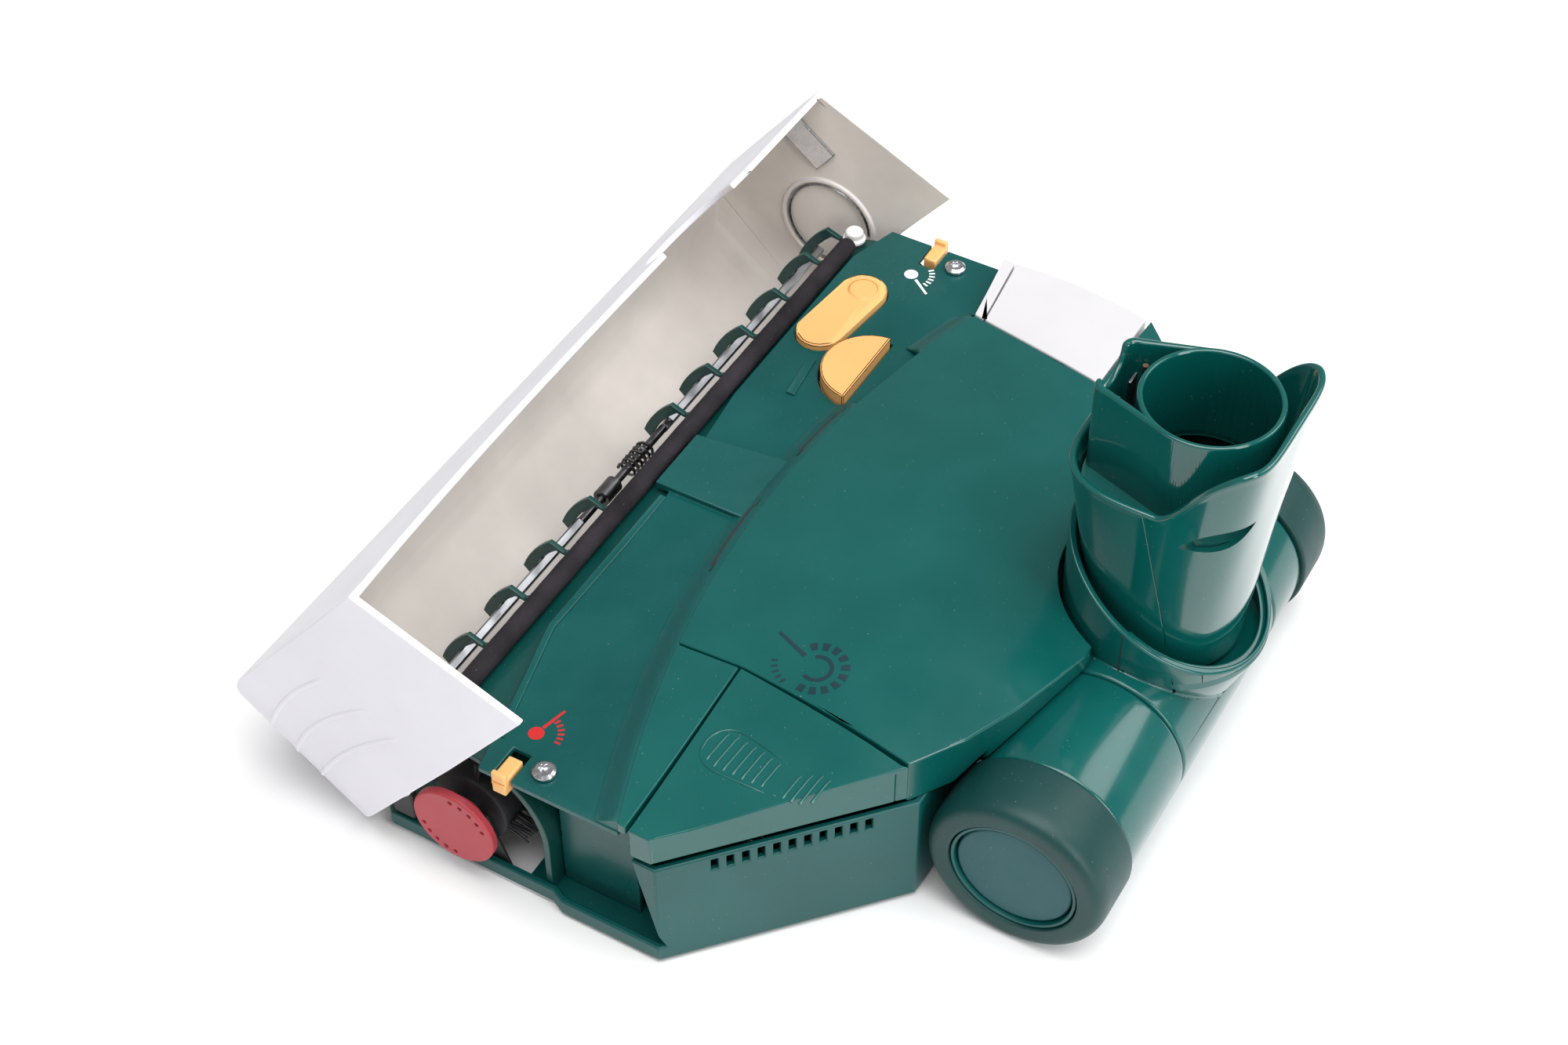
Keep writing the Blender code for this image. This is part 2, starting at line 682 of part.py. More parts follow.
def air_duct():
    """The bent tube that carries dust from the tunnel back to the neck."""
    start = BRUSH_Y - TUNNEL_R - GAP
    end = BODY_REAR + WALL + GAP
    points = [(DUCT_X, start, BRUSH_Z), (DUCT_X, 0.002, BRUSH_Z), (0.0285, -0.030, 0.0275),
              (0.0245, -0.060, 0.0305), (NECK_X, -0.076, AXLE_Z), (NECK_X, end, AXLE_Z)]
    longer = [(points[0][0], start + 0.005, points[0][2])] + points[1:-1] + [(NECK_X, end - 0.005, AXLE_Z)]
    duct = wire("air_duct", points, DUCT_R, 6)
    cut(duct, wire("airway", longer, DUCT_R - 0.0015, 6))
    return part(duct, (0.03, 0.03, 0.035), 0.5)


def brush_end_block(name, side):
    """A black bracket that carries one end of the brush shaft, with a soft block in the front corner."""
    floor = SOLE_THICK + 2 * GAP + WALL
    near, far = sorted((side * (BRUSH_OUTER + GAP), side * (TUNNEL_HALF - 0.0003)))
    bore = SHAFT_R + GAP
    front = BODY_FRONT - CHAMFER - 0.0012
    outline = [(front, floor), (front, floor + 0.006), (BRUSH_Y + 0.016, floor + 0.006),
               (BRUSH_Y + 0.008, BRUSH_Z + 0.001), (BRUSH_Y + bore, BRUSH_Z + 0.001)]
    outline += arc((BRUSH_Y, BRUSH_Z), bore, 0, -180, 8)
    outline += [(BRUSH_Y - bore, BRUSH_Z + 0.001), (BRUSH_Y - 0.008, BRUSH_Z + 0.001), (BRUSH_Y - 0.016, floor)]
    block = prism(name, outline, near, far, "X")
    low, high = sorted((side * (BRUSH_OUTER + GAP), side * (TUNNEL_HALF + 0.0020)))
    pad = box("pad", (low, 0.0690, HOOD_BOTTOM + 0.0035), (high, BODY_FRONT - CHAMFER - 0.0004, 0.0225))
    soften(pad, 0.0015, 2)
    return part(join(block, pad), BLACK, 0.7)


# ---- Deck and its fittings ------------------------------------------------------------------------
PAD_A = (0.0850, 0.0432)
PAD_B = (0.1130, 0.0400)
PAD_R = 0.0092
MOON_X = 0.0735
MOON_R = 0.0185
MOON_Y = 0.0150                  # centre of the half-moon's arc


def moon_outline(radius, centre_y):
    """The half-moon button seen from above: an arc closed by a chord along the cover's edge."""
    return arc((MOON_X, centre_y), radius, 4, 176, 16)


def capsule(start, end, radius):
    """A slot with round ends between two points."""
    lean = math.degrees(math.atan2(end[1] - start[1], end[0] - start[0]))
    return arc(end, radius, lean - 90, lean + 90, 10) + arc(start, radius, lean + 90, lean + 270, 10)


HOOK_Y = 0.0270
SCREW_Y = 0.0160
SCREW_X = BODY_HALF - 0.0085


def whole_front(back=0.0):
    """Points along the whole front edge of the skins, from right to left."""
    return front_run(BODY_HALF, COVER_RIGHT, 3, back)[:-1] + front_run(COVER_RIGHT, -BODY_HALF, 18, back)


def deck_rear(x):
    """The deck's rear edge: it reaches under the cover, and stops short of both foot switches."""
    if x > COVER_RIGHT - 0.004:
        return front_edge(x) - 0.0030
    return max(front_edge(x) - 0.0112, PEDAL_FRONT + 0.0020)


def upper_deck():
    """The flat deck behind the tunnel, under the bumper and the edge of the cover."""
    rear = [(x, deck_rear(x)) for x, y in whole_front() if x > -0.120]
    rear.append((-BODY_HALF, deck_rear(-BODY_HALF)))
    outline = [(-BODY_HALF, 0.0360), (-0.0900, 0.0500), (-0.0450, 0.0480), (-0.0200, 0.0480), (0.0400, DECK_FRONT),
               (0.1300, DECK_FRONT), (BODY_HALF, 0.0480)]
    deck = prism("upper_deck", outline + rear, DECK_LOW, DECK_TOP)
    block = prism("block", [(-0.0150, 0.0540), (0.0130, 0.0540), (0.0176, 0.0150), (-0.0150, 0.0150)],
                  DECK_TOP - 0.0010, DECK_TOP + 0.0022)
    join(deck, block)
    cuts = [prism("pad_hole", capsule(PAD_A, PAD_B, PAD_R + GAP), DECK_LOW - 0.01, DECK_TOP + 0.01),
            prism("moon_hole", moon_outline(MOON_R + 0.0014, MOON_Y), DECK_LOW - 0.01,
                  DECK_TOP + 0.01)]
    for side in (-1, 1):
        x = side * BODY_HALF
        low, high = sorted((x - side * 0.0125, x + side * 0.001))
        cuts.append(box("hook_notch", (low, HOOK_Y - 0.0035, DECK_LOW - 0.01), (high, HOOK_Y + 0.0035, DECK_TOP + 0.01)))
        cuts.append(rod("screw_hole", (side * SCREW_X, SCREW_Y, DECK_LOW - 0.01),
                        (side * SCREW_X, SCREW_Y, DECK_TOP + 0.01), 0.0016, 16))
    cut(deck, *cuts)
    wall = deck_walls()
    join(deck, *wall)
    return part(deck, DARK_GREEN, 0.35)


def deck_walls():
    """Walls under the deck's ends that stand on the tray."""
    floor = SOLE_THICK + 2 * GAP + WALL
    walls = []
    for side in (-1, 1):
        low, high = sorted((side * (BODY_HALF - 0.0135), side * (BODY_HALF - 0.0115)))
        wall = box("wall", (low, deck_rear((low + high) / 2) + 0.0012, floor), (high, BRUSH_Y - TUNNEL_R - GAP, DECK_LOW + 0.001))
        walls.append(wall)
    return walls


def torx_screw(name, side):
    """A pan-head screw with a six-lobed recess."""
    head = DECK_TOP + 0.0003
    profile = [(0.0, DECK_LOW - 0.006), (0.0013, DECK_LOW - 0.006), (0.0013, head), (0.0041, head),
               (0.0041, head + 0.0012), (0.0030, head + 0.0021), (0.0, head + 0.0023)]
    screw = turned(name, profile[::-1], (side * SCREW_X, SCREW_Y, 0), "Z", 24)
    star = []
    for i in range(24):
        turn = 2 * math.pi * i / 24
        radius = 0.00155 + 0.00035 * math.cos(6 * turn)
        star.append((side * SCREW_X + radius * math.cos(turn), SCREW_Y + radius * math.sin(turn)))
    cut(screw, prism("star", star, head + 0.0008, head + 0.01))
    return part(screw, STEEL, 0.3, 1.0)


def hook_latch(name, side):
    """A spring hook at the end of the deck that catches the bumper."""
    x = side * BODY_HALF
    near, far = sorted((x - side * 0.0090, x + side * 0.0020))
    hook = box(name, (near, HOOK_Y - 0.0028, DECK_LOW - 0.004), (far, HOOK_Y + 0.0028, DECK_TOP + 0.0008))
    low, high = sorted((x - side * 0.0002, x + side * 0.0020))
    tooth = box("tooth", (low, HOOK_Y - 0.0028, DECK_TOP - 0.001), (high, HOOK_Y + 0.0028, DECK_TOP + 0.0035))
    join(hook, tooth)
    soften(hook, 0.0006, 1)
    return pivot_at(part(hook, ORANGE, 0.5), (x - side * 0.0090, HOOK_Y, DECK_LOW - 0.004))


def release_pad():
    """The long orange rocker that frees the brushes."""
    pad = prism("brush_release_pad", capsule(PAD_A, PAD_B, PAD_R), DECK_LOW + 0.0008, DECK_TOP + 0.0022)
    soften(pad, 0.0006, 2)
    join(pad, rod("boss", (*PAD_B, DECK_TOP + 0.0015), (*PAD_B, DECK_TOP + 0.0028), 0.0056, 24))
    return pivot_at(part(pad, ORANGE, 0.5), (*PAD_A, DECK_TOP))


def moon_button():
    """The half-moon button that frees the bumper."""
    button = prism("bumper_release_button", moon_outline(MOON_R, MOON_Y + 0.0006), DECK_LOW - 0.0010,
                   DECK_TOP + 0.0040)
    soften(button, 0.0007, 2)
    return pivot_at(part(button, ORANGE, 0.5), (MOON_X, MOON_Y, DECK_TOP))


# ---- Cover and foot switches ----------------------------------------------------------------------
CUP_CLEAR = CUP_R + 0.0018
SEAM = 0.0007                    # visible joint between two skin pieces
COVER_REAR = (-0.088, -0.086)    # left rear corner of the cover
CREAM_REAR = (0.100, -0.064)     # where the cover, the right switch and the rear meet
PEDAL_FRONT = -0.0190            # front edge of the left foot switch
SKIRT = SIDE_TOP + 0.0006        # lower edge of the skins' side walls
PEDAL_SKIRT = SIDE_TOP + 0.0030


def skin_solid(name, drop):
    """A block whose top is the crowned skin surface, lowered by drop."""
    bm = bmesh.new()
    bmesh.ops.create_grid(bm, x_segments=26, y_segments=16, size=0.5)
    for vert in bm.verts:
        vert.co.x = 0.010 + vert.co.x * 0.350
        vert.co.y = -0.060 + vert.co.y * 0.180
        vert.co.z = cover_height(vert.co.x, vert.co.y) - drop
    made = bmesh.ops.extrude_face_region(bm, geom=bm.faces[:])
    for vert in [item for item in made["geom"] if isinstance(item, bmesh.types.BMVert)]:
        vert.co.z = 0.030
    return mesh_object(name, bm)


def skin(name, outline, base, closed_floor=False):
    """A shell cut from the crowned skin: its top follows the crown and its sides drop to base."""
    shell = prism(name, outline, base, 0.090)
    common(shell, skin_solid("crown", 0.0))
    if not closed_floor:
        hollow = prism("hollow", inset(outline, WALL), base - 0.01, 0.088)
        common(hollow, skin_solid("crown", WALL))
        cut(shell, hollow)
    return shell


def front_run(start, end, steps, back=0.0):
    """Points along the cover's front edge from one x to another, set back a little."""
    return [(start + (end - start) * i / steps, front_edge(start + (end - start) * i / steps) - back)
            for i in range(steps + 1)]


def top_cover():
    """The crowned cover over the motor, with a bay for the neck's cup."""
    outline = front_run(COVER_RIGHT, COVER_LEFT, 14)
    outline += [(COVER_LEFT - 0.0005, PEDAL_FRONT), COVER_REAR, (-0.070, -0.0975), (-0.050, -0.1060),
                (-0.030, -0.1120), (-0.0190, -0.1150), (0.060, -0.1150), (0.092, -0.1020), (0.1060, -0.0900),
                (REAR_RIGHT[0] + 0.012, -0.0850), (FLANK_RIGHT[0] - 0.0002, CREAM_REAR[1] - 0.001), (CREAM_REAR[0], CREAM_REAR[1] - 0.0002)]
    cover = prism("top_cover", outline, SKIRT, 0.090)
    common(cover, skin_solid("crown", 0.0))
    hollow = prism("hollow", inset(outline, WALL), SKIRT - 0.01, 0.088)
    common(hollow, skin_solid("crown", WALL))
    cut(hollow, rod("bay_wall", (NECK_X, NECK_Y, 0.02), (NECK_X, NECK_Y, 0.12), CUP_CLEAR + WALL, 48))
    cut(cover, hollow)
    cut(cover, rod("bay", (NECK_X, NECK_Y, 0.02), (NECK_X, NECK_Y, 0.12), CUP_CLEAR, 48))
    front = prism("front_foot", whole_front(0.0118) + [(-BODY_HALF, 0.05), (BODY_HALF, 0.05)], 0.030, DECK_TOP + GAP)
    cut(cover, front, drum_clearance(), *wheel_clearances())
    return part(cover, GREEN, 0.2)


def drum_clearance():
    """The space round the rear drum that no skin enters."""
    return rod("drum_space", (-0.2, AXLE_Y, AXLE_Z), (0.2, AXLE_Y, AXLE_Z), DRUM_R + 0.0008, 48)


def wheel_clearances():
    """The space round both tyres that no skin enters."""
    spans = ((LEFT_FACE - 0.002, DRUM_LEFT + 0.001), (DRUM_RIGHT - 0.001, RIGHT_FACE + 0.002))
    return [rod("wheel_space", (low, AXLE_Y, AXLE_Z), (high, AXLE_Y, AXLE_Z), WHEEL_R + 0.002, 48)
            for low, high in spans]


def left_fairing():
    """The thin panel between the deck and the left foot switch."""
    inner = COVER_LEFT - 0.0005 - SEAM
    outline = front_run(COVER_LEFT - SEAM, -BODY_HALF, 6)
    outline += [(-BODY_HALF, PEDAL_FRONT - 0.001), (inner, PEDAL_FRONT + SEAM)]
    panel = skin("left_fairing", outline, DECK_TOP + GAP, True)
    return part(panel, GREEN, 0.25)


def left_pedal():
    """The triangular foot switch on the left, which rocks about its inner edge."""
    edge = COVER_LEFT - 0.0005 - SEAM
    outline = [(edge, PEDAL_FRONT), (-BODY_HALF - 0.0005, PEDAL_FRONT - 0.0024), (-BODY_HALF - 0.0003, CORNER_LEFT[1] + 0.001),
               (REAR_LEFT[0] - 0.003, REAR_LEFT[1] + 0.0035), (COVER_REAR[0] - SEAM - 0.0006, COVER_REAR[1] + 0.002)]
    pedal = skin("left_pedal", outline, PEDAL_SKIRT)
    return pivot_at(part(pedal, GREEN, 0.25), (*PEDAL_HINGE_LEFT, PEDAL_HINGE_Z))


def right_outline(front, rear):
    """The right foot switch seen from above, between two stations of its length."""
    inner_front = Vector((COVER_RIGHT + SEAM, front_edge(COVER_RIGHT)))
    inner_rear = Vector((CREAM_REAR[0] + SEAM, CREAM_REAR[1]))
    outer = [Vector((BODY_HALF + 0.0015, front_edge(BODY_HALF))), Vector((BODY_HALF + 0.0005, -0.0320)),
             Vector((FLANK_RIGHT[0], -0.0630))]

    def edge(t):
        i = min(int(t * 2), 1)
        return outer[i].lerp(outer[i + 1], t * 2 - i)

    inside = [inner_front.lerp(inner_rear, t) for t in (front, rear)]
    stations = [front + (rear - front) * i / 6 for i in range(7)]
    return [tuple(inside[0])] + [tuple(edge(t)) for t in stations] + [tuple(inside[1])]


def right_pedal():
    """The cream foot switch on the right, which rocks about its inner edge."""
    pedal = skin("right_pedal", right_outline(0.085, 1.0), SIDE_TOP + 0.0030)
    return pivot_at(part(pedal, (0.80, 0.78, 0.80), 0.35), (*PEDAL_HINGE_RIGHT, PEDAL_HINGE_Z))


def right_edge_strip():
    """The fixed cream strip along the front of the right foot switch."""
    strip = skin("right_edge_strip", right_outline(0.0, 0.073), DECK_TOP + GAP, True)
    return part(strip, (0.80, 0.78, 0.80), 0.35)


PEDAL_HINGE_LEFT = (-0.0835, -0.050)
PEDAL_HINGE_RIGHT = (0.1100, -0.034)
PEDAL_HINGE_Z = 0.0600


def pedal_spring(name, x, y):
    """The spring that lifts a foot switch back."""
    low, high = SOLE_THICK + 2 * GAP + WALL + 0.001, COVER_EDGE - WALL
    points = []
    turns, radius = 7, 0.0040
    for i in range(turns * 9 + 1):
        turn = 2 * math.pi * i / 9
        points.append((x + radius * math.cos(turn), y + radius * math.sin(turn),
                       low + (high - low) * i / (turns * 9)))
    return part(wire(name, points, 0.0005), STEEL, 0.3, 1.0)


# ---- Rear: drums, wheels, yoke and neck -----------------------------------------------------------
def fixed_drum(name, left, right):
    """A fixed length of the rear drum, hollow, with a bored web at its outer end for the axle."""
    drum = rod(name, (left, AXLE_Y, AXLE_Z), (right, AXLE_Y, AXLE_Z), DRUM_R, 40)
    web = 0.003
    hollow = rod("hollow", (left + web, AXLE_Y, AXLE_Z), (right - web, AXLE_Y, AXLE_Z), DRUM_R - WALL, 40)
    window = box("window", (left + 0.008, AXLE_Y - 0.006, -0.01), (right - 0.008, AXLE_Y + 0.006, 0.010))
    bore = rod("bore", (left - 0.01, AXLE_Y, AXLE_Z), (right + 0.01, AXLE_Y, AXLE_Z), AXLE_R + GAP, 20)
    cut(drum, hollow, window, bore)
    bracket = box("bracket", (left + 0.006, AXLE_Y + DRUM_R - 0.004, AXLE_Z - 0.012),
                  (right - 0.006, BODY_REAR - GAP, AXLE_Z + 0.012))
    join(drum, bracket)
    return part(drum, GREEN, 0.3)


def stub_axle(name, inner, outer):
    """One wheel's steel axle."""
    return part(rod(name, (inner, AXLE_Y, AXLE_Z), (outer, AXLE_Y, AXLE_Z), AXLE_R, 20), STEEL, 0.3, 1.0)


LEFT_FACE = DRUM_LEFT - GAP - WHEEL_WIDE
RIGHT_FACE = DRUM_RIGHT + GAP + WHEEL_WIDE
RIM_R = WHEEL_R - 0.0095


def tyre(name, face, side):
    """A soft tyre: wide tread with a round shoulder and a recessed ring."""
    back = face - side * WHEEL_WIDE
    section = [(RIM_R + GAP, back), (WHEEL_R - 0.0012, back), (WHEEL_R, back + side * 0.0012)]
    section += [(WHEEL_R - 0.0065 + 0.0065 * math.cos(math.radians(a)),
                 face - side * 0.0065 + side * 0.0065 * math.sin(math.radians(a))) for a in (0, 22, 45, 67, 90)]
    section += [(RIM_R + 0.0012, face), (RIM_R + GAP, face - side * 0.0010)]
    return pivot_at(part(turned(name, section, (0, AXLE_Y, AXLE_Z), "X", 44), DARK_GREEN, 0.6),
                    (face - side * WHEEL_WIDE / 2, AXLE_Y, AXLE_Z))


def hub(name, face, side):
    """The moulded wheel centre that turns on the axle."""
    back = face - side * WHEEL_WIDE
    bore = AXLE_R + GAP
    section = [(bore, back), (RIM_R, back), (RIM_R, face - side * 0.0015), (RIM_R - 0.0012, face - side * 0.0015),
               (RIM_R - 0.0012, face - side * 0.0060), (bore, face - side * 0.0060)]
    return pivot_at(part(turned(name, section, (0, AXLE_Y, AXLE_Z), "X", 36), GREEN, 0.35),
                    (face - side * WHEEL_WIDE / 2, AXLE_Y, AXLE_Z))


def hub_cap(name, face, side):
    """The disc that closes the wheel."""
    outer = face - side * 0.0020
    radius = RIM_R - 0.0012 - GAP - 0.0018
    section = [(0.0, face - side * 0.0056), (radius, face - side * 0.0056), (radius, outer - side * 0.0008),
               (radius - 0.0012, outer), (0.0, outer + side * 0.0006)]
    return pivot_at(part(turned(name, section, (0, AXLE_Y, AXLE_Z), "X", 36), (0.01, 0.13, 0.12), 0.4),
                    (face - side * WHEEL_WIDE / 2, AXLE_Y, AXLE_Z))


def neck_yoke():
    """The middle of the drum, which tilts, with the sloping cup that the neck turns in."""
    middle = ((YOKE_LEFT + YOKE_RIGHT) / 2, AXLE_Y, AXLE_Z)
    yoke = rod("neck_yoke", (YOKE_LEFT, AXLE_Y, AXLE_Z), (YOKE_RIGHT, AXLE_Y, AXLE_Z), DRUM_R, 40)
    outer = [(0.0, 0.105), (CUP_R, 0.105), (CUP_R, 0.066), (CUP_R - 0.002, 0.056), (CUP_R - 0.008, 0.040), (0.0, 0.030)]
    join(yoke, turned("cup", outer, (NECK_X, NECK_Y, 0), "Z", 40))
    slope = math.atan2(CUP_FRONT - CUP_REAR, 2 * CUP_R)
    lid = box("lid", (-0.06, -0.08, 0.0), (0.06, 0.08, 0.08))
    lid.data.transform(Matrix.Translation((NECK_X, NECK_Y, (CUP_FRONT + CUP_REAR) / 2)) @ Matrix.Rotation(slope, 4, "X"))
    inner = [(0.0, 0.120), (CUP_R - WALL, 0.120), (CUP_R - WALL, 0.058), (0.0205, 0.052), (0.0205, 0.026), (0.0, 0.026)]
    well = turned("well", inner, (NECK_X, NECK_Y, 0), "Z", 40)
    airway = rod("airway", (NECK_X, NECK_Y, AXLE_Z), (NECK_X, AXLE_Y + 0.05, AXLE_Z), 0.0180, 28)
    cut(yoke, lid, well, airway)
    journals = [rod("journal", (YOKE_LEFT - 0.01, AXLE_Y, AXLE_Z), (YOKE_LEFT + 0.008, AXLE_Y, AXLE_Z),
                    AXLE_R + GAP, 20),
                rod("journal", (YOKE_RIGHT - 0.008, AXLE_Y, AXLE_Z), (YOKE_RIGHT + 0.01, AXLE_Y, AXLE_Z),
                    AXLE_R + GAP, 20)]
    cut(yoke, *journals)
    return pivot_at(part(yoke, GREEN, 0.3), middle)


def rim_radius(angle):
    """Half-width of the neck's mouth by direction: square corners behind, rounder ones in front."""
    across, along = abs(math.cos(angle)), math.sin(angle)
    depth, power = (0.0360, 3.2) if along > 0 else (0.0335, 5.0)
    return ((across / 0.0330) ** power + (abs(along) / depth) ** power) ** (-1 / power)


def rim_height(angle):
    """The mouth's rim is low in front and rises to its rear corners."""
    behind = min(max((-math.sin(angle) - 0.05) / 0.70, 0.0), 1.0)
    return RIM_FRONT + (RIM_REAR - RIM_FRONT) * behind * behind * (3 - 2 * behind)


def neck_ring(levels, shrink=0.0):
    """One ring of the neck's straight-sided flare: level 0 is its round foot and 1 its mouth."""
    ring = []
    for i, level in enumerate(levels):
        angle = 2 * math.pi * i / len(levels)
        radius = NECK_FOOT_R + (rim_radius(angle) - NECK_FOOT_R) * level - shrink
        z = NECK_FOOT_Z + (rim_height(angle) - NECK_FOOT_Z) * level
        ring.append((NECK_X + radius * math.cos(angle), NECK_Y + radius * math.sin(angle), z))
    return ring


def neck_slice(z, shrink):
    """The neck's level cross-section at height z, less a margin, as (x, y)."""
    levels = [(z - NECK_FOOT_Z) / (rim_height(2 * math.pi * i / NECK_SIDES) - NECK_FOOT_Z) for i in range(NECK_SIDES)]
    return [(x, y) for x, y, height in neck_ring(levels, shrink)]


def raised(ring, amount):
    """The same ring moved up or down."""
    return [(x, y, z + amount) for x, y, z in ring]


def neck_shell():
    """The flared outer neck, open at both ends."""
    rows = [[level] * NECK_SIDES for level in (0.0, 0.33, 0.67, 1.0)]
    shell = loft("neck_shell", [neck_ring(row) for row in rows])
    bore = [neck_ring(row, WALL) for row in rows]
    bore = [raised(bore[0], -0.01)] + bore + [raised(bore[-1], 0.01)]
    cut(shell, loft("bore", bore))
    lens = rod("lens", (NECK_X - 0.02, NECK_Y, 0.118), (NECK_X - 0.055, NECK_Y, 0.118), 0.0045, 16)
    lens.data.transform(Matrix.Translation((0, NECK_Y, 0.118)) @ Matrix.Diagonal((1, 2.0, 0.8, 1))
                        @ Matrix.Translation((0, -NECK_Y, -0.118)))
    lens.data.transform(Matrix.Translation((0, -0.010, 0)))
    cut(shell, lens)
    return pivot_at(part(shell, GREEN, 0.15), (NECK_X, NECK_Y, NECK_FOOT_Z))


def spigot_outline(shrink=0.0):
    """The spigot seen from above: a round tube with a narrower pocket in front."""
    radius = SPIGOT_R - shrink
    front = SPIGOT_Y + 0.0350 - shrink
    half = 0.0145 - shrink
    corner = 0.004
    outline = arc((NECK_X, SPIGOT_Y), radius, 158, 382, 20)
    outline += arc((NECK_X + half - corner, front - corner), corner, 20, 90, 3)
    outline += arc((NECK_X - half + corner, front - corner), corner, 90, 160, 3)
    return outline


def suction_spigot():
    """The inner tube that the cleaner's wand pushes onto, with the pocket for its contacts."""
    spigot = prism("suction_spigot", spigot_outline(), SPIGOT_FLOOR, SPIGOT_TOP)
    floor_ring = neck_slice(SPIGOT_FLOOR - 0.001, WALL + GAP)
    join(spigot, prism("floor", floor_ring, SPIGOT_FLOOR - 0.001, SPIGOT_FLOOR + 0.0015))
    pocket = prism("pocket", spigot_outline(0.0020), SPIGOT_FLOOR + 0.004, SPIGOT_TOP + 0.01)
    cut(pocket, rod("tube", (NECK_X, SPIGOT_Y, 0.1), (NECK_X, SPIGOT_Y, 0.2), SPIGOT_R, 40))
    bore = rod("bore", (NECK_X, SPIGOT_Y, 0.1), (NECK_X, SPIGOT_Y, 0.2), SPIGOT_R - 0.0020, 40)
    cut(spigot, pocket, bore)
    notch = rod("notch", (NECK_X, SPIGOT_Y + 0.028, SPIGOT_TOP + 0.001),
                (NECK_X, SPIGOT_Y + 0.045, SPIGOT_TOP + 0.001), 0.0095, 20)
    cut(spigot, notch)
    return pivot_at(part(spigot, GREEN, 0.2), (NECK_X, NECK_Y, SPIGOT_FLOOR))


def contact_blade(name, side):
    """One flat spring contact in the pocket."""
    x = NECK_X + side * 0.0065
    y = SPIGOT_Y + 0.0290
    blade = box(name, (x - 0.0028, y - 0.0005, SPIGOT_FLOOR + 0.0044), (x + 0.0028, y + 0.0005, SPIGOT_TOP - 0.010))
    return part(blade, (0.35, 0.33, 0.30), 0.35, 1.0, smooth=False)


def contact_pin():
    """The round earth pin between the tube and the blades."""
    y = SPIGOT_Y + 0.0270
    pin = rod("contact_pin", (NECK_X + 0.0115, y, SPIGOT_FLOOR + 0.0044), (NECK_X + 0.0115, y, SPIGOT_TOP - 0.008), 0.0010, 12)
    return part(pin, (0.5, 0.3, 0.2), 0.35, 1.0)


def neck_seal():
    """The rubber ring that seals the neck's foot in the yoke."""
    section = [(0.0210, 0.0530), (0.0210, 0.0576), (0.0245, 0.0576), (0.0245, 0.0545)]
    return pivot_at(part(turned("neck_seal", section[::-1], (NECK_X, NECK_Y, 0), "Z", 32), BLACK, 0.8),
                    (NECK_X, NECK_Y, 0.0524))


# ---- Bumper ---------------------------------------------------------------------------------------
def hood_section(shrink):
    """The shut bumper from its lower front edge round to its rear edge, as (y, z), less a wall."""
    front, top = HOOD_FRONT - shrink, HOOD_TOP - shrink
    nose = 0.026 - shrink
    rear = -0.060
    bottom = HOOD_BOTTOM - (0.02 if shrink else 0.0)
    round_front = arc((front - nose, top - nose), nose, 4, 90, 8)
    return [(rear, bottom), (front - 0.0004, bottom)] + round_front + [(rear, top - 0.001)]


def hood_plan(shrink):
    """The bumper seen from above, with round front corners."""
    half, front = HOOD_HALF - shrink, HOOD_FRONT - shrink
    corner = HOOD_CORNER - shrink
    narrow = half - HOOD_TAPER
    ahead = 0.015
    return [(narrow, -0.070), (narrow, -0.018), (half, ahead)] + \
        arc((half - corner, front - corner), corner, 0, 90, 7) + \
        arc((-half + corner, front - corner), corner, 90, 180, 7) + [(-half, ahead), (-narrow, -0.032), (-narrow, -0.070)]


def hood_blank(name, shrink):
    """A solid of the bumper's shape, less a wall all round."""
    blank = prism(name, hood_section(shrink), -HOOD_HALF - 0.01, HOOD_HALF + 0.01, "X")
    return common(blank, prism("plan", hood_plan(shrink), -0.05, 0.12))


def bumper_hood():
    """The white bumper: a channel over the brushes with a cheek at each end, shut."""
    hood = hood_blank("bumper_hood", 0.0)
    cut(hood, hood_blank("inside", HOOD_WALL))
    join(hood, bearing_cup("cup", -1), bearing_cup("cup", 1))
    behind = [side_front("behind", side, 0.0009, -0.001, 0.090, -0.10) for side in (-1, 1)]
    edge = BODY_HALF + 0.0006
    rim = prism("rim", front_run(edge, -edge, 24, -0.0009) + [(-edge, -0.09), (edge, -0.09)], 0.0500, 0.090)
    scallop = rod("scallop", (MOON_X, MOON_Y, 0.055), (MOON_X, MOON_Y, 0.09), SCALLOP_R, 40)
    pin = rod("pin_hole", (-0.2, HINGE_Y, HINGE_Z), (0.2, HINGE_Y, HINGE_Z), PIN_R + GAP, 14)
    recesses = [rod("recess", (side * 0.1, BRUSH_Y, BRUSH_Z), (side * CUP_FLOOR, BRUSH_Y, BRUSH_Z), CUP_IN_R, 32)
                for side in (-1, 1)]
    cut(hood, *behind, rim, scallop, pin, *recesses)
    return hood


def bearing_cup(name, side):
    """A round cup inside one cheek that holds the brush's end disc when the bumper is shut."""
    outer = side * (HOOD_HALF - HOOD_WALL / 2)
    inner = side * (CAP_FACE + GAP)
    section = [(CUP_IN_R, inner), (CUP_IN_R + 0.0020, inner), (CUP_IN_R + 0.0020, outer), (CUP_IN_R, outer)]
    return turned(name, section, (0, BRUSH_Y, BRUSH_Z), "X", 32)


def bail_spring():
    """The round steel wire that lies in the right cup."""
    points = []
    for i in range(31):
        turn = math.radians(-60 + 290 * i / 30)
        points.append((CUP_FLOOR - GAP - BAIL_R, BRUSH_Y + 0.0182 * math.cos(turn), BRUSH_Z + 0.0182 * math.sin(turn)))
    return wire("bail_spring", points, BAIL_R)


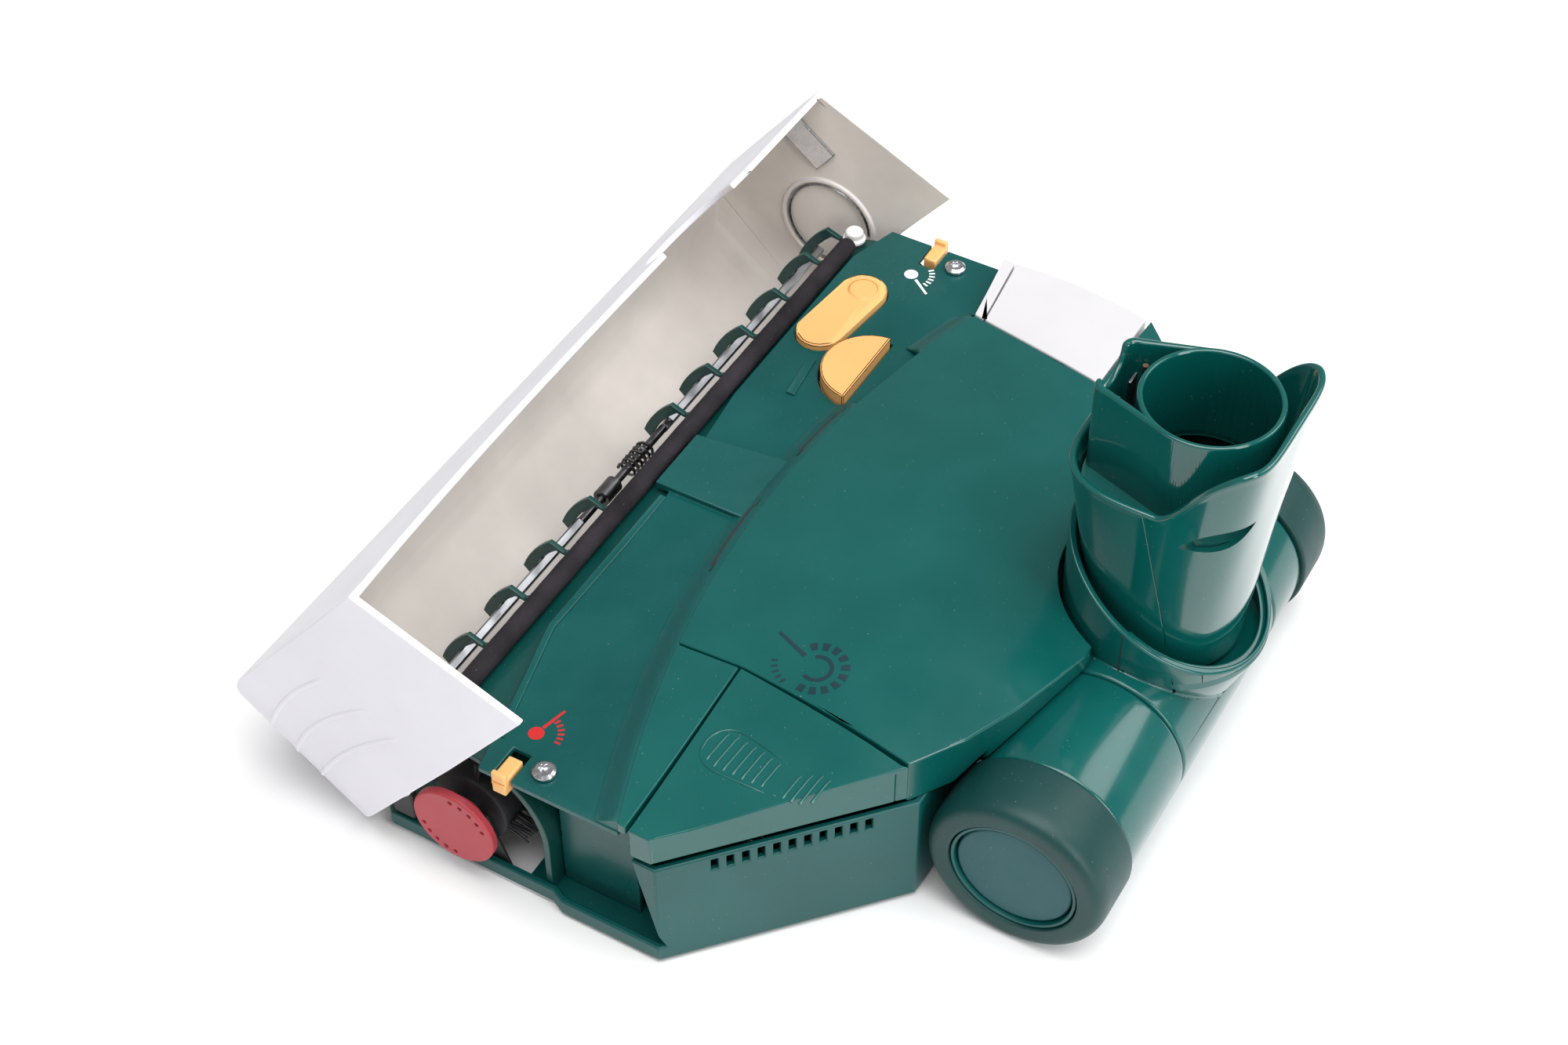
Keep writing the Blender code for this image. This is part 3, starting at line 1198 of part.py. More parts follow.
def hood_clip():
    """The bent chrome clip at the right rear of the bumper."""
    wall = HOOD_HALF - HOOD_WALL - GAP
    top = HOOD_TOP - HOOD_WALL - GAP
    clip = box("hood_clip", (wall - 0.0070, 0.0180, top - 0.0012), (wall, 0.0300, top))
    join(clip, box("leg", (wall - 0.0012, 0.0180, 0.0460), (wall, 0.0300, top - 0.0002)))
    soften(clip, 0.0003, 1)
    return clip


def hinge_lug(name, side):
    """A steel lug at one front corner of the tray, with the pin that the bumper turns on."""
    near, far = sorted((side * LUG_INNER, side * (LUG_INNER + 0.010)))
    outline = arc((HINGE_Y, HINGE_Z), LUG_R, -90, 90, 8)
    outline += [(BODY_FRONT + GAP, HINGE_Z + LUG_R), (BODY_FRONT + GAP, HINGE_Z - LUG_R)]
    lug = prism(name, outline, near, far, "X")
    join(lug, rod("pin", (side * (LUG_INNER + 0.002), HINGE_Y, HINGE_Z), (side * PIN_END, HINGE_Y, HINGE_Z), PIN_R, 14))
    return part(lug, STEEL, 0.3, 1.0)


def strip_button():
    """The white button that holds the right end of the seal strip, on its dark foot."""
    top = DECK_LOW
    profile = [(0.0, top), (0.0046, top), (0.0046, top + 0.0012), (0.0036, top + 0.0020), (0.0036, top + 0.0040),
               (0.0028, top + 0.0048), (0.0, top + 0.0048)]
    return part(turned("strip_button", profile[::-1], (BODY_HALF - 0.0096, 0.0600, 0), "Z", 24), (0.85, 0.84, 0.82), 0.4)


def swing_open(pieces):
    """Hang the bumper's pieces on an empty at the hinge and swing it open."""
    hinge = bpy.data.objects.new("bumper_hinge", None)
    hinge.location = (0, HINGE_Y, HINGE_Z)
    PARTS.objects.link(hinge)
    for piece in pieces:
        pivot_at(piece, (0, HINGE_Y, HINGE_Z))
        piece.location = (0, 0, 0)
        piece.parent = hinge
    hinge.rotation_euler = (-HOOD_OPEN, 0, 0)


# ---- Assembly -------------------------------------------------------------------------------------
def chassis():
    """The sole, tray, tunnel and everything fixed to them."""
    sole_plate()
    lower_tray()
    brush_tunnel()
    guard_bar("guard_bar_left", -1)
    guard_bar("guard_bar_right", 1)
    sensor_rod()
    sensor_lever()
    sensor_spring()
    seal_strip()
    strip_button()
    for name, side in (("left", -1), ("right", 1)):
        brush_end_block(f"brush_end_block_{name}", side)
        hinge_lug(f"hinge_lug_{name}", side)


def drive():
    """Motor, belt, pulleys and brushes."""
    motor()
    motor_pulley()
    drive_belt()
    pulley("brush_pulley", 0, BRUSH_Y, BRUSH_Z, BIG_PULLEY, SHAFT_R + GAP)
    drive_shaft()
    brush_roller("brush_roller_left", -1)
    brush_roller("brush_roller_right", 1)
    bearing_cap("bearing_cap_left", -1, (0.55, 0.06, 0.07))
    bearing_cap("bearing_cap_right", 1, (0.80, 0.78, 0.76))
    circuit_board()
    air_duct()


def top():
    """Deck, cover, foot switches, latches and buttons."""
    upper_deck()
    for name, side in (("left", -1), ("right", 1)):
        torx_screw(f"cover_screw_{name}", side)
        hook_latch(f"hook_latch_{name}", side)
    release_pad()
    moon_button()
    top_cover()
    left_fairing()
    left_pedal()
    right_pedal()
    right_edge_strip()
    pedal_spring("pedal_spring_left", -0.112, -0.042)
    pedal_spring("pedal_spring_right", 0.135, -0.030)


def rear():
    """Drums, axles, wheels, yoke and neck."""
    fixed_drum("rear_drum_left", DRUM_LEFT, YOKE_LEFT - GAP)
    fixed_drum("rear_drum_right", YOKE_RIGHT + GAP, DRUM_RIGHT)
    stub_axle("axle_left", YOKE_LEFT + 0.0070, LEFT_FACE + 0.0070)
    stub_axle("axle_right", YOKE_RIGHT - 0.0070, RIGHT_FACE - 0.0070)
    for name, face, side in (("left", LEFT_FACE, -1), ("right", RIGHT_FACE, 1)):
        tyre(f"tyre_{name}", face, side)
        hub(f"wheel_hub_{name}", face, side)
        hub_cap(f"hub_cap_{name}", face, side)
    neck_yoke()
    neck_shell()
    suction_spigot()
    contact_blade("contact_blade_left", -1)
    contact_blade("contact_blade_right", 1)
    contact_pin()
    neck_seal()


def bumper():
    """The swung-open bumper and what is fixed inside it."""
    white = (0.82, 0.80, 0.86)
    pieces = [part(bumper_hood(), white, 0.35)]
    pieces.append(part(bail_spring(), STEEL, 0.3, 1.0))
    pieces.append(part(hood_clip(), STEEL, 0.2, 1.0))
    swing_open(pieces)


chassis()
drive()
top()
rear()
bumper()
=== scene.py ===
# %% [markdown]
# # A powered carpet-brush head
#
# The head stands on its sole and two wheels, with its bumper swung open over the brushes. The solid
# parts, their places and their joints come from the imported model. This script dresses them: smooth
# moulded shells worked out as surfaces, softened edges on the small parts, and a material for each.

# %% Load the frame
import json
import math

import bmesh
import bpy
import numpy as np
from mathutils import Matrix, Vector


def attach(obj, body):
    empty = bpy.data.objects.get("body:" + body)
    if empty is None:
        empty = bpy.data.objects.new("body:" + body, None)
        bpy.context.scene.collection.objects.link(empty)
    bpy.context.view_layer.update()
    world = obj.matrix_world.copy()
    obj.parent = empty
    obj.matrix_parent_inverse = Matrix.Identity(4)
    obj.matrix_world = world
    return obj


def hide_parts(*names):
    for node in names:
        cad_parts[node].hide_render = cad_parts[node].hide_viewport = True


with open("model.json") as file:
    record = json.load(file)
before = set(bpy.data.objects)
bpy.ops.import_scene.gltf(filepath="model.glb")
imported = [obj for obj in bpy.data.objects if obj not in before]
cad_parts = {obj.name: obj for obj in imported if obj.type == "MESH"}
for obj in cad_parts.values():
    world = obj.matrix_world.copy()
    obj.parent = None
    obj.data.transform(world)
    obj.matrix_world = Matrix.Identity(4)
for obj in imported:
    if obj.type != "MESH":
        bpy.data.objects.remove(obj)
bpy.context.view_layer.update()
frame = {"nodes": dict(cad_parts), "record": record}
nodes = frame["nodes"]
body_of = {node: body for body, members in frame["record"]["behaviour"]["bodies"].items() for node in members}

# %% [markdown]
# ## Camera, floor and light
#
# A long lens looks down at the head from its left rear corner, so that parallel edges stay nearly
# parallel. The matrix is written by its three directions: right, up and backwards.

# %% Camera
right = Vector((0.498, -0.867, 0.0)).normalized()
ahead = Vector((0.605, 0.348, -0.716)).normalized()
up = right.cross(ahead).normalized()
turned_to = Matrix((right, up, -ahead)).transposed().to_4x4()
lens = bpy.data.cameras.new("camera")
lens.lens = 59.04
lens.sensor_width = 36.0
lens.clip_start = 0.01
camera = bpy.data.objects.new("camera", lens)
camera.matrix_world = Matrix.Translation((-0.5533, -0.3079, 0.7064)) @ turned_to
bpy.context.scene.collection.objects.link(camera)
bpy.context.scene.camera = camera
bpy.context.scene.view_settings.view_transform = "Standard"
print("camera looks along", [round(v, 3) for v in ahead])

# %% [markdown]
# The floor is one large white sheet. Four soft boxes light the head: a wide one overhead, a tall one
# and a broad one behind, and a low weak one at the left.

# %% Floor and lamps
def lamp(name, place, target, width, depth, power):
    """A rectangular soft box at a place, facing a target."""
    light = bpy.data.lights.new(name, "AREA")
    light.shape = "RECTANGLE"
    light.size = width
    light.size_y = depth
    light.energy = power
    made = bpy.data.objects.new(name, light)
    made.location = place
    made.rotation_euler = (Vector(target) - Vector(place)).to_track_quat("-Z", "Y").to_euler()
    bpy.context.scene.collection.objects.link(made)


def plain_floor():
    """A square sheet just under the wheels."""
    mesh = bpy.data.meshes.new("floor")
    reach, level = 6.0, -0.0002
    corners = [(-reach, -reach, level), (reach, -reach, level), (reach, reach, level), (-reach, reach, level)]
    mesh.from_pydata(corners, [], [(0, 1, 2, 3)])
    made = bpy.data.objects.new("floor", mesh)
    bpy.context.scene.collection.objects.link(made)
    white = bpy.data.materials.new("floor_paper")
    white.use_nodes = True
    shader = white.node_tree.nodes["Principled BSDF"]
    shader.inputs["Base Color"].default_value = (0.93, 0.93, 0.93, 1.0)
    shader.inputs["Roughness"].default_value = 0.9
    shader.inputs["Specular IOR Level"].default_value = 0.1
    mesh.materials.append(white)


plain_floor()
lamp("overhead", (-0.20, -0.25, 1.60), (0.0, 0.0, 0.0), 1.6, 1.2, 30.0)
lamp("rear_tall", (-0.45, -1.45, 0.75), (0.02, -0.10, 0.08), 0.45, 1.0, 11.0)
lamp("rear_fill", (0.95, -1.00, 1.20), (0.0, 0.05, 0.05), 0.9, 0.9, 9.0)
lamp("left_low", (-1.40, -0.10, 0.55), (-0.1, 0.0, 0.03), 0.8, 0.35, 1.0)
sky = bpy.data.worlds.new("studio")
sky.use_nodes = True
sky.node_tree.nodes["Background"].inputs["Color"].default_value = (1.0, 1.0, 1.0, 1.0)
sky.node_tree.nodes["Background"].inputs["Strength"].default_value = 0.28
bpy.context.scene.world = sky

# %% [markdown]
# ## Materials
#
# Most of the head is moulded plastic. A moulded skin has three things to show: a very fine texture
# from the tool, a slow drift of colour and gloss across the part, and a few pale specks of dust. All
# three are noise on Object coordinates at their own scales, so they stay put when a joint moves.

# %% Moulded plastic
BLACK = (0.0, 0.0, 0.0)


def blank(name):
    """(material, node tree, shader, coordinates) of a new material."""
    made = bpy.data.materials.new(name)
    made.use_nodes = True
    tree = made.node_tree
    return made, tree, tree.nodes["Principled BSDF"], tree.nodes.new("ShaderNodeTexCoord")


def noise_of(tree, source, scale, detail=2.0, stretch=(1.0, 1.0, 1.0)):
    """A noise texture on object coordinates, stretched along the axes."""
    mapping = tree.nodes.new("ShaderNodeMapping")
    mapping.inputs["Scale"].default_value = stretch
    tree.links.new(source.outputs["Object"], mapping.inputs["Vector"])
    noise = tree.nodes.new("ShaderNodeTexNoise")
    noise.inputs["Scale"].default_value = scale
    noise.inputs["Detail"].default_value = detail
    tree.links.new(mapping.outputs["Vector"], noise.inputs["Vector"])
    return noise


def ramp_of(tree, value, low, high, first, last):
    """A colour ramp from one colour to another over a span of a value."""
    ramp = tree.nodes.new("ShaderNodeValToRGB")
    ramp.color_ramp.elements[0].position = low
    ramp.color_ramp.elements[1].position = high
    ramp.color_ramp.elements[0].color = (*first, 1.0)
    ramp.color_ramp.elements[1].color = (*last, 1.0)
    tree.links.new(value, ramp.inputs["Fac"])
    return ramp


def roughened(tree, shader, noise, gloss):
    """Roughness that follows a noise: its values of 0.3 to 0.7 are spread over the (low, high) of gloss."""
    spread = tree.nodes.new("ShaderNodeMapRange")
    spread.inputs["From Min"].default_value = 0.3
    spread.inputs["From Max"].default_value = 0.7
    spread.inputs["To Min"].default_value = gloss[0]
    spread.inputs["To Max"].default_value = gloss[1]
    tree.links.new(noise.outputs["Fac"], spread.inputs["Value"])
    tree.links.new(spread.outputs["Result"], shader.inputs["Roughness"])


def bumped(tree, shader, noise, strength, distance):
    """A bump that follows a noise."""
    bump = tree.nodes.new("ShaderNodeBump")
    bump.inputs["Strength"].default_value = strength
    bump.inputs["Distance"].default_value = distance
    tree.links.new(noise.outputs["Fac"], bump.inputs["Height"])
    tree.links.new(bump.outputs["Normal"], shader.inputs["Normal"])


def mixed(tree, factor, first, second):
    """One colour over another by a factor."""
    mix = tree.nodes.new("ShaderNodeMix")
    mix.data_type = "RGBA"
    tree.links.new(factor, mix.inputs["Factor"])
    tree.links.new(first, mix.inputs["A"])
    mix.inputs["B"].default_value = (*second, 1.0)
    return mix


def plastic(name, colour, gloss, grain=0.12, grain_scale=1400.0, drift=0.10, dust=0.0, coat=0.0, wear=0.0):
    """Moulded plastic. gloss is a (low, high) roughness; wear pales the outermost edges."""
    made, tree, shader, source = blank(name)
    slow = noise_of(tree, source, 28.0, 3.0)
    darker = tuple(c * (1 - drift) for c in colour)
    lighter = tuple(min(c * (1 + drift) + 0.002, 1.0) for c in colour)
    base = ramp_of(tree, slow.outputs["Fac"], 0.30, 0.70, darker, lighter).outputs["Color"]
    if dust > 0.0:
        specks = noise_of(tree, source, 1900.0, 1.0)
        spots = ramp_of(tree, specks.outputs["Fac"], 0.79 - 0.03 * dust, 0.83, BLACK, (0.8, 0.8, 0.8))
        base = mixed(tree, spots.outputs["Color"], base, (0.55, 0.55, 0.52)).outputs["Result"]
    if wear > 0.0:
        shape = tree.nodes.new("ShaderNodeNewGeometry")
        edges = ramp_of(tree, shape.outputs["Pointiness"], 0.545, 0.62, BLACK, (wear, wear, wear))
        pale = tuple(min(c * 1.5 + 0.05, 1.0) for c in colour)
        base = mixed(tree, edges.outputs["Color"], base, pale).outputs["Result"]
    tree.links.new(base, shader.inputs["Base Color"])
    roughened(tree, shader, noise_of(tree, source, 55.0, 4.0), gloss)
    bumped(tree, shader, noise_of(tree, source, grain_scale), grain, 0.00008)
    shader.inputs["Coat Weight"].default_value = coat
    shader.inputs["Specular IOR Level"].default_value = 0.4
    shader.inputs["Coat Roughness"].default_value = 0.08
    return made


COVER_GREEN = (0.0012, 0.0880, 0.0800)
DEEP_GREEN = (0.0010, 0.0720, 0.0680)
gloss_green = plastic("gloss_green", COVER_GREEN, (0.16, 0.26), 0.05, 900.0, 0.07, 0.2, 0.35, 0.25)
neck_green = plastic("neck_green", (0.0010, 0.0820, 0.0730), (0.06, 0.13), 0.03, 700.0, 0.06, 0.1, 0.6, 0.2)
satin_green = plastic("satin_green", (0.0012, 0.0760, 0.0720), (0.30, 0.42), 0.14, 1500.0, 0.08, 0.3, 0.0,
                      0.3)
deck_green = plastic("deck_green", DEEP_GREEN, (0.22, 0.34), 0.10, 1300.0, 0.10, 0.7, 0.1, 0.3)
tunnel_green = plastic("tunnel_green", (0.0010, 0.0520, 0.0460), (0.24, 0.38), 0.10, 1300.0, 0.12, 0.7, 0.1,
                       0.3)
tyre_green = plastic("tyre_green", (0.0008, 0.0400, 0.0380), (0.42, 0.55), 0.30, 1100.0, 0.10, 0.4)
cap_teal = plastic("cap_teal", (0.0030, 0.0760, 0.0860), (0.40, 0.50), 0.22, 1500.0, 0.05, 0.2)
latch_orange = plastic("latch_orange", (0.860, 0.450, 0.160), (0.38, 0.48), 0.20, 1500.0, 0.04, 0.1, 0.0, 0.2)
cap_red = plastic("cap_red", (0.420, 0.045, 0.060), (0.40, 0.52), 0.25, 1400.0, 0.08, 0.2, 0.0, 0.25)
cream = plastic("cream", (0.640, 0.630, 0.650), (0.30, 0.40), 0.10, 1500.0, 0.02, 0.0)
outer_white = plastic("outer_white", (0.760, 0.745, 0.800), (0.32, 0.44), 0.16, 1100.0, 0.03, 0.0)
inner_beige = plastic("inner_beige", (0.860, 0.800, 0.750), (0.42, 0.60), 0.22, 900.0, 0.09, 0.0)
button_white = plastic("button_white", (0.800, 0.790, 0.770), (0.30, 0.40), 0.10, 1500.0, 0.03, 0.0)
black_plastic = plastic("black_plastic", (0.016, 0.017, 0.018), (0.35, 0.50), 0.20, 1400.0, 0.15, 0.5)
duct_black = plastic("duct_black", (0.030, 0.032, 0.035), (0.40, 0.52), 0.20, 1400.0, 0.10, 0.2)
print("plastics:", len(bpy.data.materials))

# %% [markdown]
# Metal shows how it was worked. Sheet is brushed: long noise along X scratches it and spreads its
# shine. Wire and screws are smoother, with a little tarnish in slow patches.

# %% Metals
def metal(name, colour, gloss, scratch=0.25, stretch=(30.0, 900.0, 900.0), tarnish=0.25):
    """Bare metal with scratches along its length and slow tarnish."""
    made, tree, shader, source = blank(name)
    shader.inputs["Metallic"].default_value = 1.0
    patches = noise_of(tree, source, 90.0, 4.0)
    dull = tuple(c * (1 - tarnish) for c in colour)
    base = ramp_of(tree, patches.outputs["Fac"], 0.35, 0.62, dull, colour)
    tree.links.new(base.outputs["Color"], shader.inputs["Base Color"])
    marks = noise_of(tree, source, 1.0, 2.0, stretch)
    roughened(tree, shader, marks, gloss)
    bumped(tree, shader, marks, scratch, 0.00004)
    return made


plate_steel = metal("plate_steel", (0.62, 0.63, 0.65), (0.22, 0.42))
bar_steel = metal("bar_steel", (0.50, 0.51, 0.54), (0.25, 0.45), 0.35)
wire_steel = metal("wire_steel", (0.42, 0.42, 0.44), (0.20, 0.40), 0.15, (500.0, 500.0, 500.0), 0.4)
dark_steel = metal("dark_steel", (0.20, 0.20, 0.21), (0.28, 0.48), 0.2, (400.0, 400.0, 400.0), 0.5)
zinc = metal("zinc", (0.72, 0.73, 0.76), (0.16, 0.30), 0.12, (600.0, 600.0, 600.0), 0.15)
copper = metal("copper", (0.60, 0.30, 0.20), (0.25, 0.40), 0.1, (600.0, 600.0, 600.0), 0.3)
print("metals done:", len(bpy.data.materials))

# %% [markdown]
# Felt, rubber and bristle share one recipe: felt is a dense fibre bump with pale lint, rubber is
# nearly flat, and bristle lies between them. The circuit board is a green plastic.

# %% Felt, rubber and bristle
def soft_black(name, colour, rough, bump_scale, strength, lint):
    """A dark soft surface: fibre or rubber, with some pale lint caught on it."""
    made, tree, shader, source = blank(name)
    slow = noise_of(tree, source, 60.0, 3.0)
    shade = ramp_of(tree, slow.outputs["Fac"], 0.3, 0.7, tuple(c * 0.7 for c in colour),
                    tuple(c * 1.6 for c in colour))
    specks = noise_of(tree, source, 1500.0, 2.0)
    spots = ramp_of(tree, specks.outputs["Fac"], 0.76, 0.84, BLACK, (lint, lint, lint))
    coloured = mixed(tree, spots.outputs["Color"], shade.outputs["Color"], (0.45, 0.43, 0.40))
    tree.links.new(coloured.outputs["Result"], shader.inputs["Base Color"])
    shader.inputs["Roughness"].default_value = rough
    shader.inputs["Specular IOR Level"].default_value = 0.25
    bumped(tree, shader, noise_of(tree, source, bump_scale, 4.0), strength, 0.0004)
    return made


felt = soft_black("felt", (0.020, 0.017, 0.021), 0.95, 900.0, 0.9, 0.9)
rubber = soft_black("rubber", (0.020, 0.020, 0.021), 0.65, 700.0, 0.2, 0.3)
bristle = soft_black("bristle", (0.030, 0.030, 0.033), 0.55, 1500.0, 0.6, 0.2)
board = plastic("board", (0.015, 0.150, 0.045), (0.30, 0.45), 0.2, 500.0, 0.2)
print("materials:", len(bpy.data.materials))

# %% [markdown]
# ## Shaping tools
#
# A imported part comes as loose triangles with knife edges. `refined` works on a copy: it welds the
# corners, clears the needless edges, and rolls a small radius along each sharp one, so that edges catch
# light as moulded edges do. The copy then stands for the part and rides on the same body.

# %% Copies with softened edges
EDGE_ANGLE = 38.0


def adopt(made, node):
    """Let a piece stand for a part: same body, with the part hidden."""
    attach(made, body_of[node])
    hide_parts(node)
    return made


def finished(name, mesh, material):
    """An object holding a mesh, at the origin."""
    made = bpy.data.objects.new(name, mesh)
    bpy.context.scene.collection.objects.link(made)
    if material is not None:
        mesh.materials.clear()
        mesh.materials.append(material)
    return made


def welded(node, flat=0.4):
    """A closed copy of a part's triangles, with those within flat degrees of each other joined."""
    shape = bmesh.new()
    shape.from_mesh(nodes[node].data)
    shape.transform(nodes[node].matrix_world)
    bmesh.ops.remove_doubles(shape, verts=shape.verts, dist=2e-6)
    bmesh.ops.dissolve_limit(shape, angle_limit=math.radians(flat), verts=shape.verts, edges=shape.edges)
    bmesh.ops.recalc_face_normals(shape, faces=shape.faces)
    mesh = bpy.data.meshes.new(node + "_fine")
    shape.to_mesh(mesh)
    shape.free()
    return mesh


def edged(made, width, angle=EDGE_ANGLE, segments=2):
    """Round the sharp edges of an object to a width."""
    bevel = made.modifiers.new("edges", "BEVEL")
    bevel.width = width
    bevel.segments = segments
    bevel.limit_method = "ANGLE"
    bevel.angle_limit = math.radians(angle)
    bevel.use_clamp_overlap = False
    weighted = made.modifiers.new("flat_faces", "WEIGHTED_NORMAL")
    weighted.keep_sharp = True
    return made


def smooth(mesh, angle=EDGE_ANGLE):
    """Shade a mesh smooth, with its edges over an angle kept sharp."""
    mesh.shade_smooth()
    mesh.set_sharp_from_angle(angle=math.radians(angle))


def refined(node, material, width):
    """A softened copy of a part that stands for it."""
    mesh = welded(node)
    smooth(mesh)
    made = finished(node + "_fine", mesh, material)
    if width:
        edged(made, width)
    adopt(made, node)


small_parts = [
    ("sole_plate", plate_steel, 0.0002), ("lower_tray", satin_green, 0.0006),
    ("brush_tunnel", tunnel_green, 0.0003),
    ("guard_bar_left", bar_steel, 0.0), ("guard_bar_right", bar_steel, 0.0), ("sensor_rod", dark_steel, 0.0),
    ("sensor_lever", dark_steel, 0.0), ("sensor_spring", dark_steel, 0.0),
    ("strip_button", button_white, 0.0003),
    ("brush_end_block_left", black_plastic, 0.0003), ("brush_end_block_right", black_plastic, 0.0003),
    ("hinge_lug_left", zinc, 0.0003), ("hinge_lug_right", zinc, 0.0003), ("motor", wire_steel, 0.0),
    ("motor_pulley", black_plastic, 0.0), ("drive_belt", rubber, 0.0), ("brush_pulley", black_plastic, 0.0),
    ("brush_shaft", wire_steel, 0.0), ("bearing_cap_left", cap_red, 0.0002),
    ("bearing_cap_right", button_white, 0.0002),
    ("circuit_board", board, 0.0), ("air_duct", duct_black, 0.0003), ("upper_deck", deck_green, 0.0004),
    ("cover_screw_left", zinc, 0.0002), ("cover_screw_right", zinc, 0.0002),
    ("hook_latch_left", latch_orange, 0.0003),
    ("hook_latch_right", latch_orange, 0.0003), ("brush_release_pad", latch_orange, 0.0006),
    ("bumper_release_button", latch_orange, 0.0005), ("pedal_spring_left", wire_steel, 0.0),
    ("pedal_spring_right", wire_steel, 0.0), ("axle_left", wire_steel, 0.0), ("axle_right", wire_steel, 0.0),
    ("contact_blade_left", wire_steel, 0.0002), ("contact_blade_right", wire_steel, 0.0002),
    ("contact_pin", copper, 0.0), ("neck_seal", rubber, 0.0), ("bail_spring", wire_steel, 0.0),
    ("hood_clip", zinc, 0.0003),
]
for node, material, width in small_parts:
    refined(node, material, width)
print("softened copies:", len(small_parts))

# %% [markdown]
# The larger skins are surfaces worked out from formulas. `grid` turns an array of points, rows by
# columns, into quads; a closed profile is rounded at its corners first and then turned about an axis.

# %% Surfaces from arrays
def grid(points, around=True, along=False):
    """(points, quads) of a grid. around closes each row into a ring; along joins last row and first."""
    rows, columns = points.shape[:2]
    index = np.arange(rows * columns).reshape(rows, columns)
    if around:
        index = np.hstack([index, index[:, :1]])
    if along:
        index = np.vstack([index, index[:1]])
    quads = np.stack([index[:-1, :-1], index[:-1, 1:], index[1:, 1:], index[1:, :-1]], axis=-1)
    return points.reshape(-1, 3), quads.reshape(-1, 4)


def from_parts(name, parts, material, angle=EDGE_ANGLE):
    """One smooth-shaded object from several (points, quads), welded, with its normals outward."""
    starts = np.cumsum([0] + [len(points) for points, _ in parts])
    points = np.concatenate([points for points, _ in parts])
    quads = np.concatenate([faces + start for (_, faces), start in zip(parts, starts)])
    mesh = bpy.data.meshes.new(name)
    mesh.from_pydata(points.tolist(), [], quads.tolist())
    shape = bmesh.new()
    shape.from_mesh(mesh)
    bmesh.ops.remove_doubles(shape, verts=shape.verts, dist=1e-6)
    bmesh.ops.dissolve_degenerate(shape, edges=shape.edges, dist=1e-7)
    bmesh.ops.recalc_face_normals(shape, faces=shape.faces)
    shape.to_mesh(mesh)
    shape.free()
    smooth(mesh, angle)
    return finished(name, mesh, material)


def filled(made):
    """Close the open ends of a piece."""
    shape = bmesh.new()
    shape.from_mesh(made.data)
    bmesh.ops.holes_fill(shape, edges=shape.edges)
    bmesh.ops.recalc_face_normals(shape, faces=shape.faces)
    shape.to_mesh(made.data)
    shape.free()
    return made


def unit(vectors):
    """Vectors scaled to length one."""
    return vectors / np.linalg.norm(vectors, axis=-1, keepdims=True)


def values_of(items, name, width=1, kind=np.float32):
    """One property of a mesh's points, corners or faces, as an array with a row for each."""
    found = np.empty(len(items) * width, kind)
    items.foreach_get(name, found)
    return found.reshape(-1, width) if width > 1 else found


def rounded(profile, size, steps=5, closed=True):
    """A profile with each corner P swapped for the curve (1-t)^2 A + 2t(1-t) P + t^2 B, where A and B lie on
    its two sides at the given distance, or half a side away where that is nearer."""
    corner = np.asarray(profile, float)
    size = np.broadcast_to(np.asarray(size, float), (len(corner),))[:, None]
    back = np.roll(corner, 1, axis=0) - corner
    on = np.roll(corner, -1, axis=0) - corner
    back_length = np.linalg.norm(back, axis=1, keepdims=True)
    on_length = np.linalg.norm(on, axis=1, keepdims=True)
    first = corner + back / back_length * np.minimum(size, back_length / 2)
    last = corner + on / on_length * np.minimum(size, on_length / 2)
    t = np.linspace(0, 1, steps)[None, :, None]
    curve = (1 - t) ** 2 * first[:, None] + 2 * t * (1 - t) * corner[:, None] + t ** 2 * last[:, None]
    if not closed:
        curve[0] = corner[0]
        curve[-1] = corner[-1]
    return curve.reshape(-1, corner.shape[1])


def turned(profile, centre, axis="X", sides=160):
    """A profile of (radius, place along the axis) turned about an axis through the centre."""
    angle = np.linspace(0, 2 * np.pi, sides, endpoint=False)
    radius, place = profile[:, 0][:, None], profile[:, 1][:, None]
    level = place + 0 * angle
    if axis == "X":
        points = np.stack([level, centre[1] + radius * np.cos(angle), centre[2] + radius * np.sin(angle)], -1)
    else:
        points = np.stack([centre[0] + radius * np.cos(angle), centre[1] + radius * np.sin(angle), level], -1)
    return grid(points)


def ring_of(section, centre, axis="X", sides=160):
    """A closed section turned into a ring: its last row meets its first."""
    points, _ = turned(section, centre, axis, sides)
    return grid(points.reshape(len(section), sides, 3), True, True)


def carved(made, *cutters):
    """Cut pieces out of an object and take the cutters away."""
    for cutter in cutters:
        boolean = made.modifiers.new("cut", "BOOLEAN")
        boolean.operation = "DIFFERENCE"
        boolean.solver = "EXACT"
        boolean.object = cutter
    bpy.context.view_layer.update()
    graph = bpy.context.evaluated_depsgraph_get()
    result = bpy.data.meshes.new_from_object(made.evaluated_get(graph))
    made.modifiers.clear()
    made.data = result
    for cutter in cutters:
        bpy.data.objects.remove(cutter)
    return made


def block(low, high):
    """(points, quads) of a box."""
    x, y, z = zip(low, high)
    ring = [(x[0], y[0]), (x[1], y[0]), (x[1], y[1]), (x[0], y[1])]
    points = np.array([[(*p, z[0]) for p in ring], [(*p, z[1]) for p in ring]], float)
    flat, quads = grid(points)
    return flat, np.vstack([quads, [[3, 2, 1, 0], [4, 5, 6, 7]]])


print("shaping tools ready")

# %% [markdown]
# ## Wheels and drums
#
# Each wheel is a tyre with a wide flat tread and a round shoulder, a dished hub, and a matt disc. The
# drum between them is a plain tube with softly rounded ends. All are turned about the wheel axis.

# %% Turned rear parts
AXLE = (0.0, -0.124, 0.032)
WHEEL_R = 0.032
WHEEL_WIDE = 0.024
RIM_R = 0.0225
DRUM_R = 0.0305
AXLE_HOLE = 0.0044


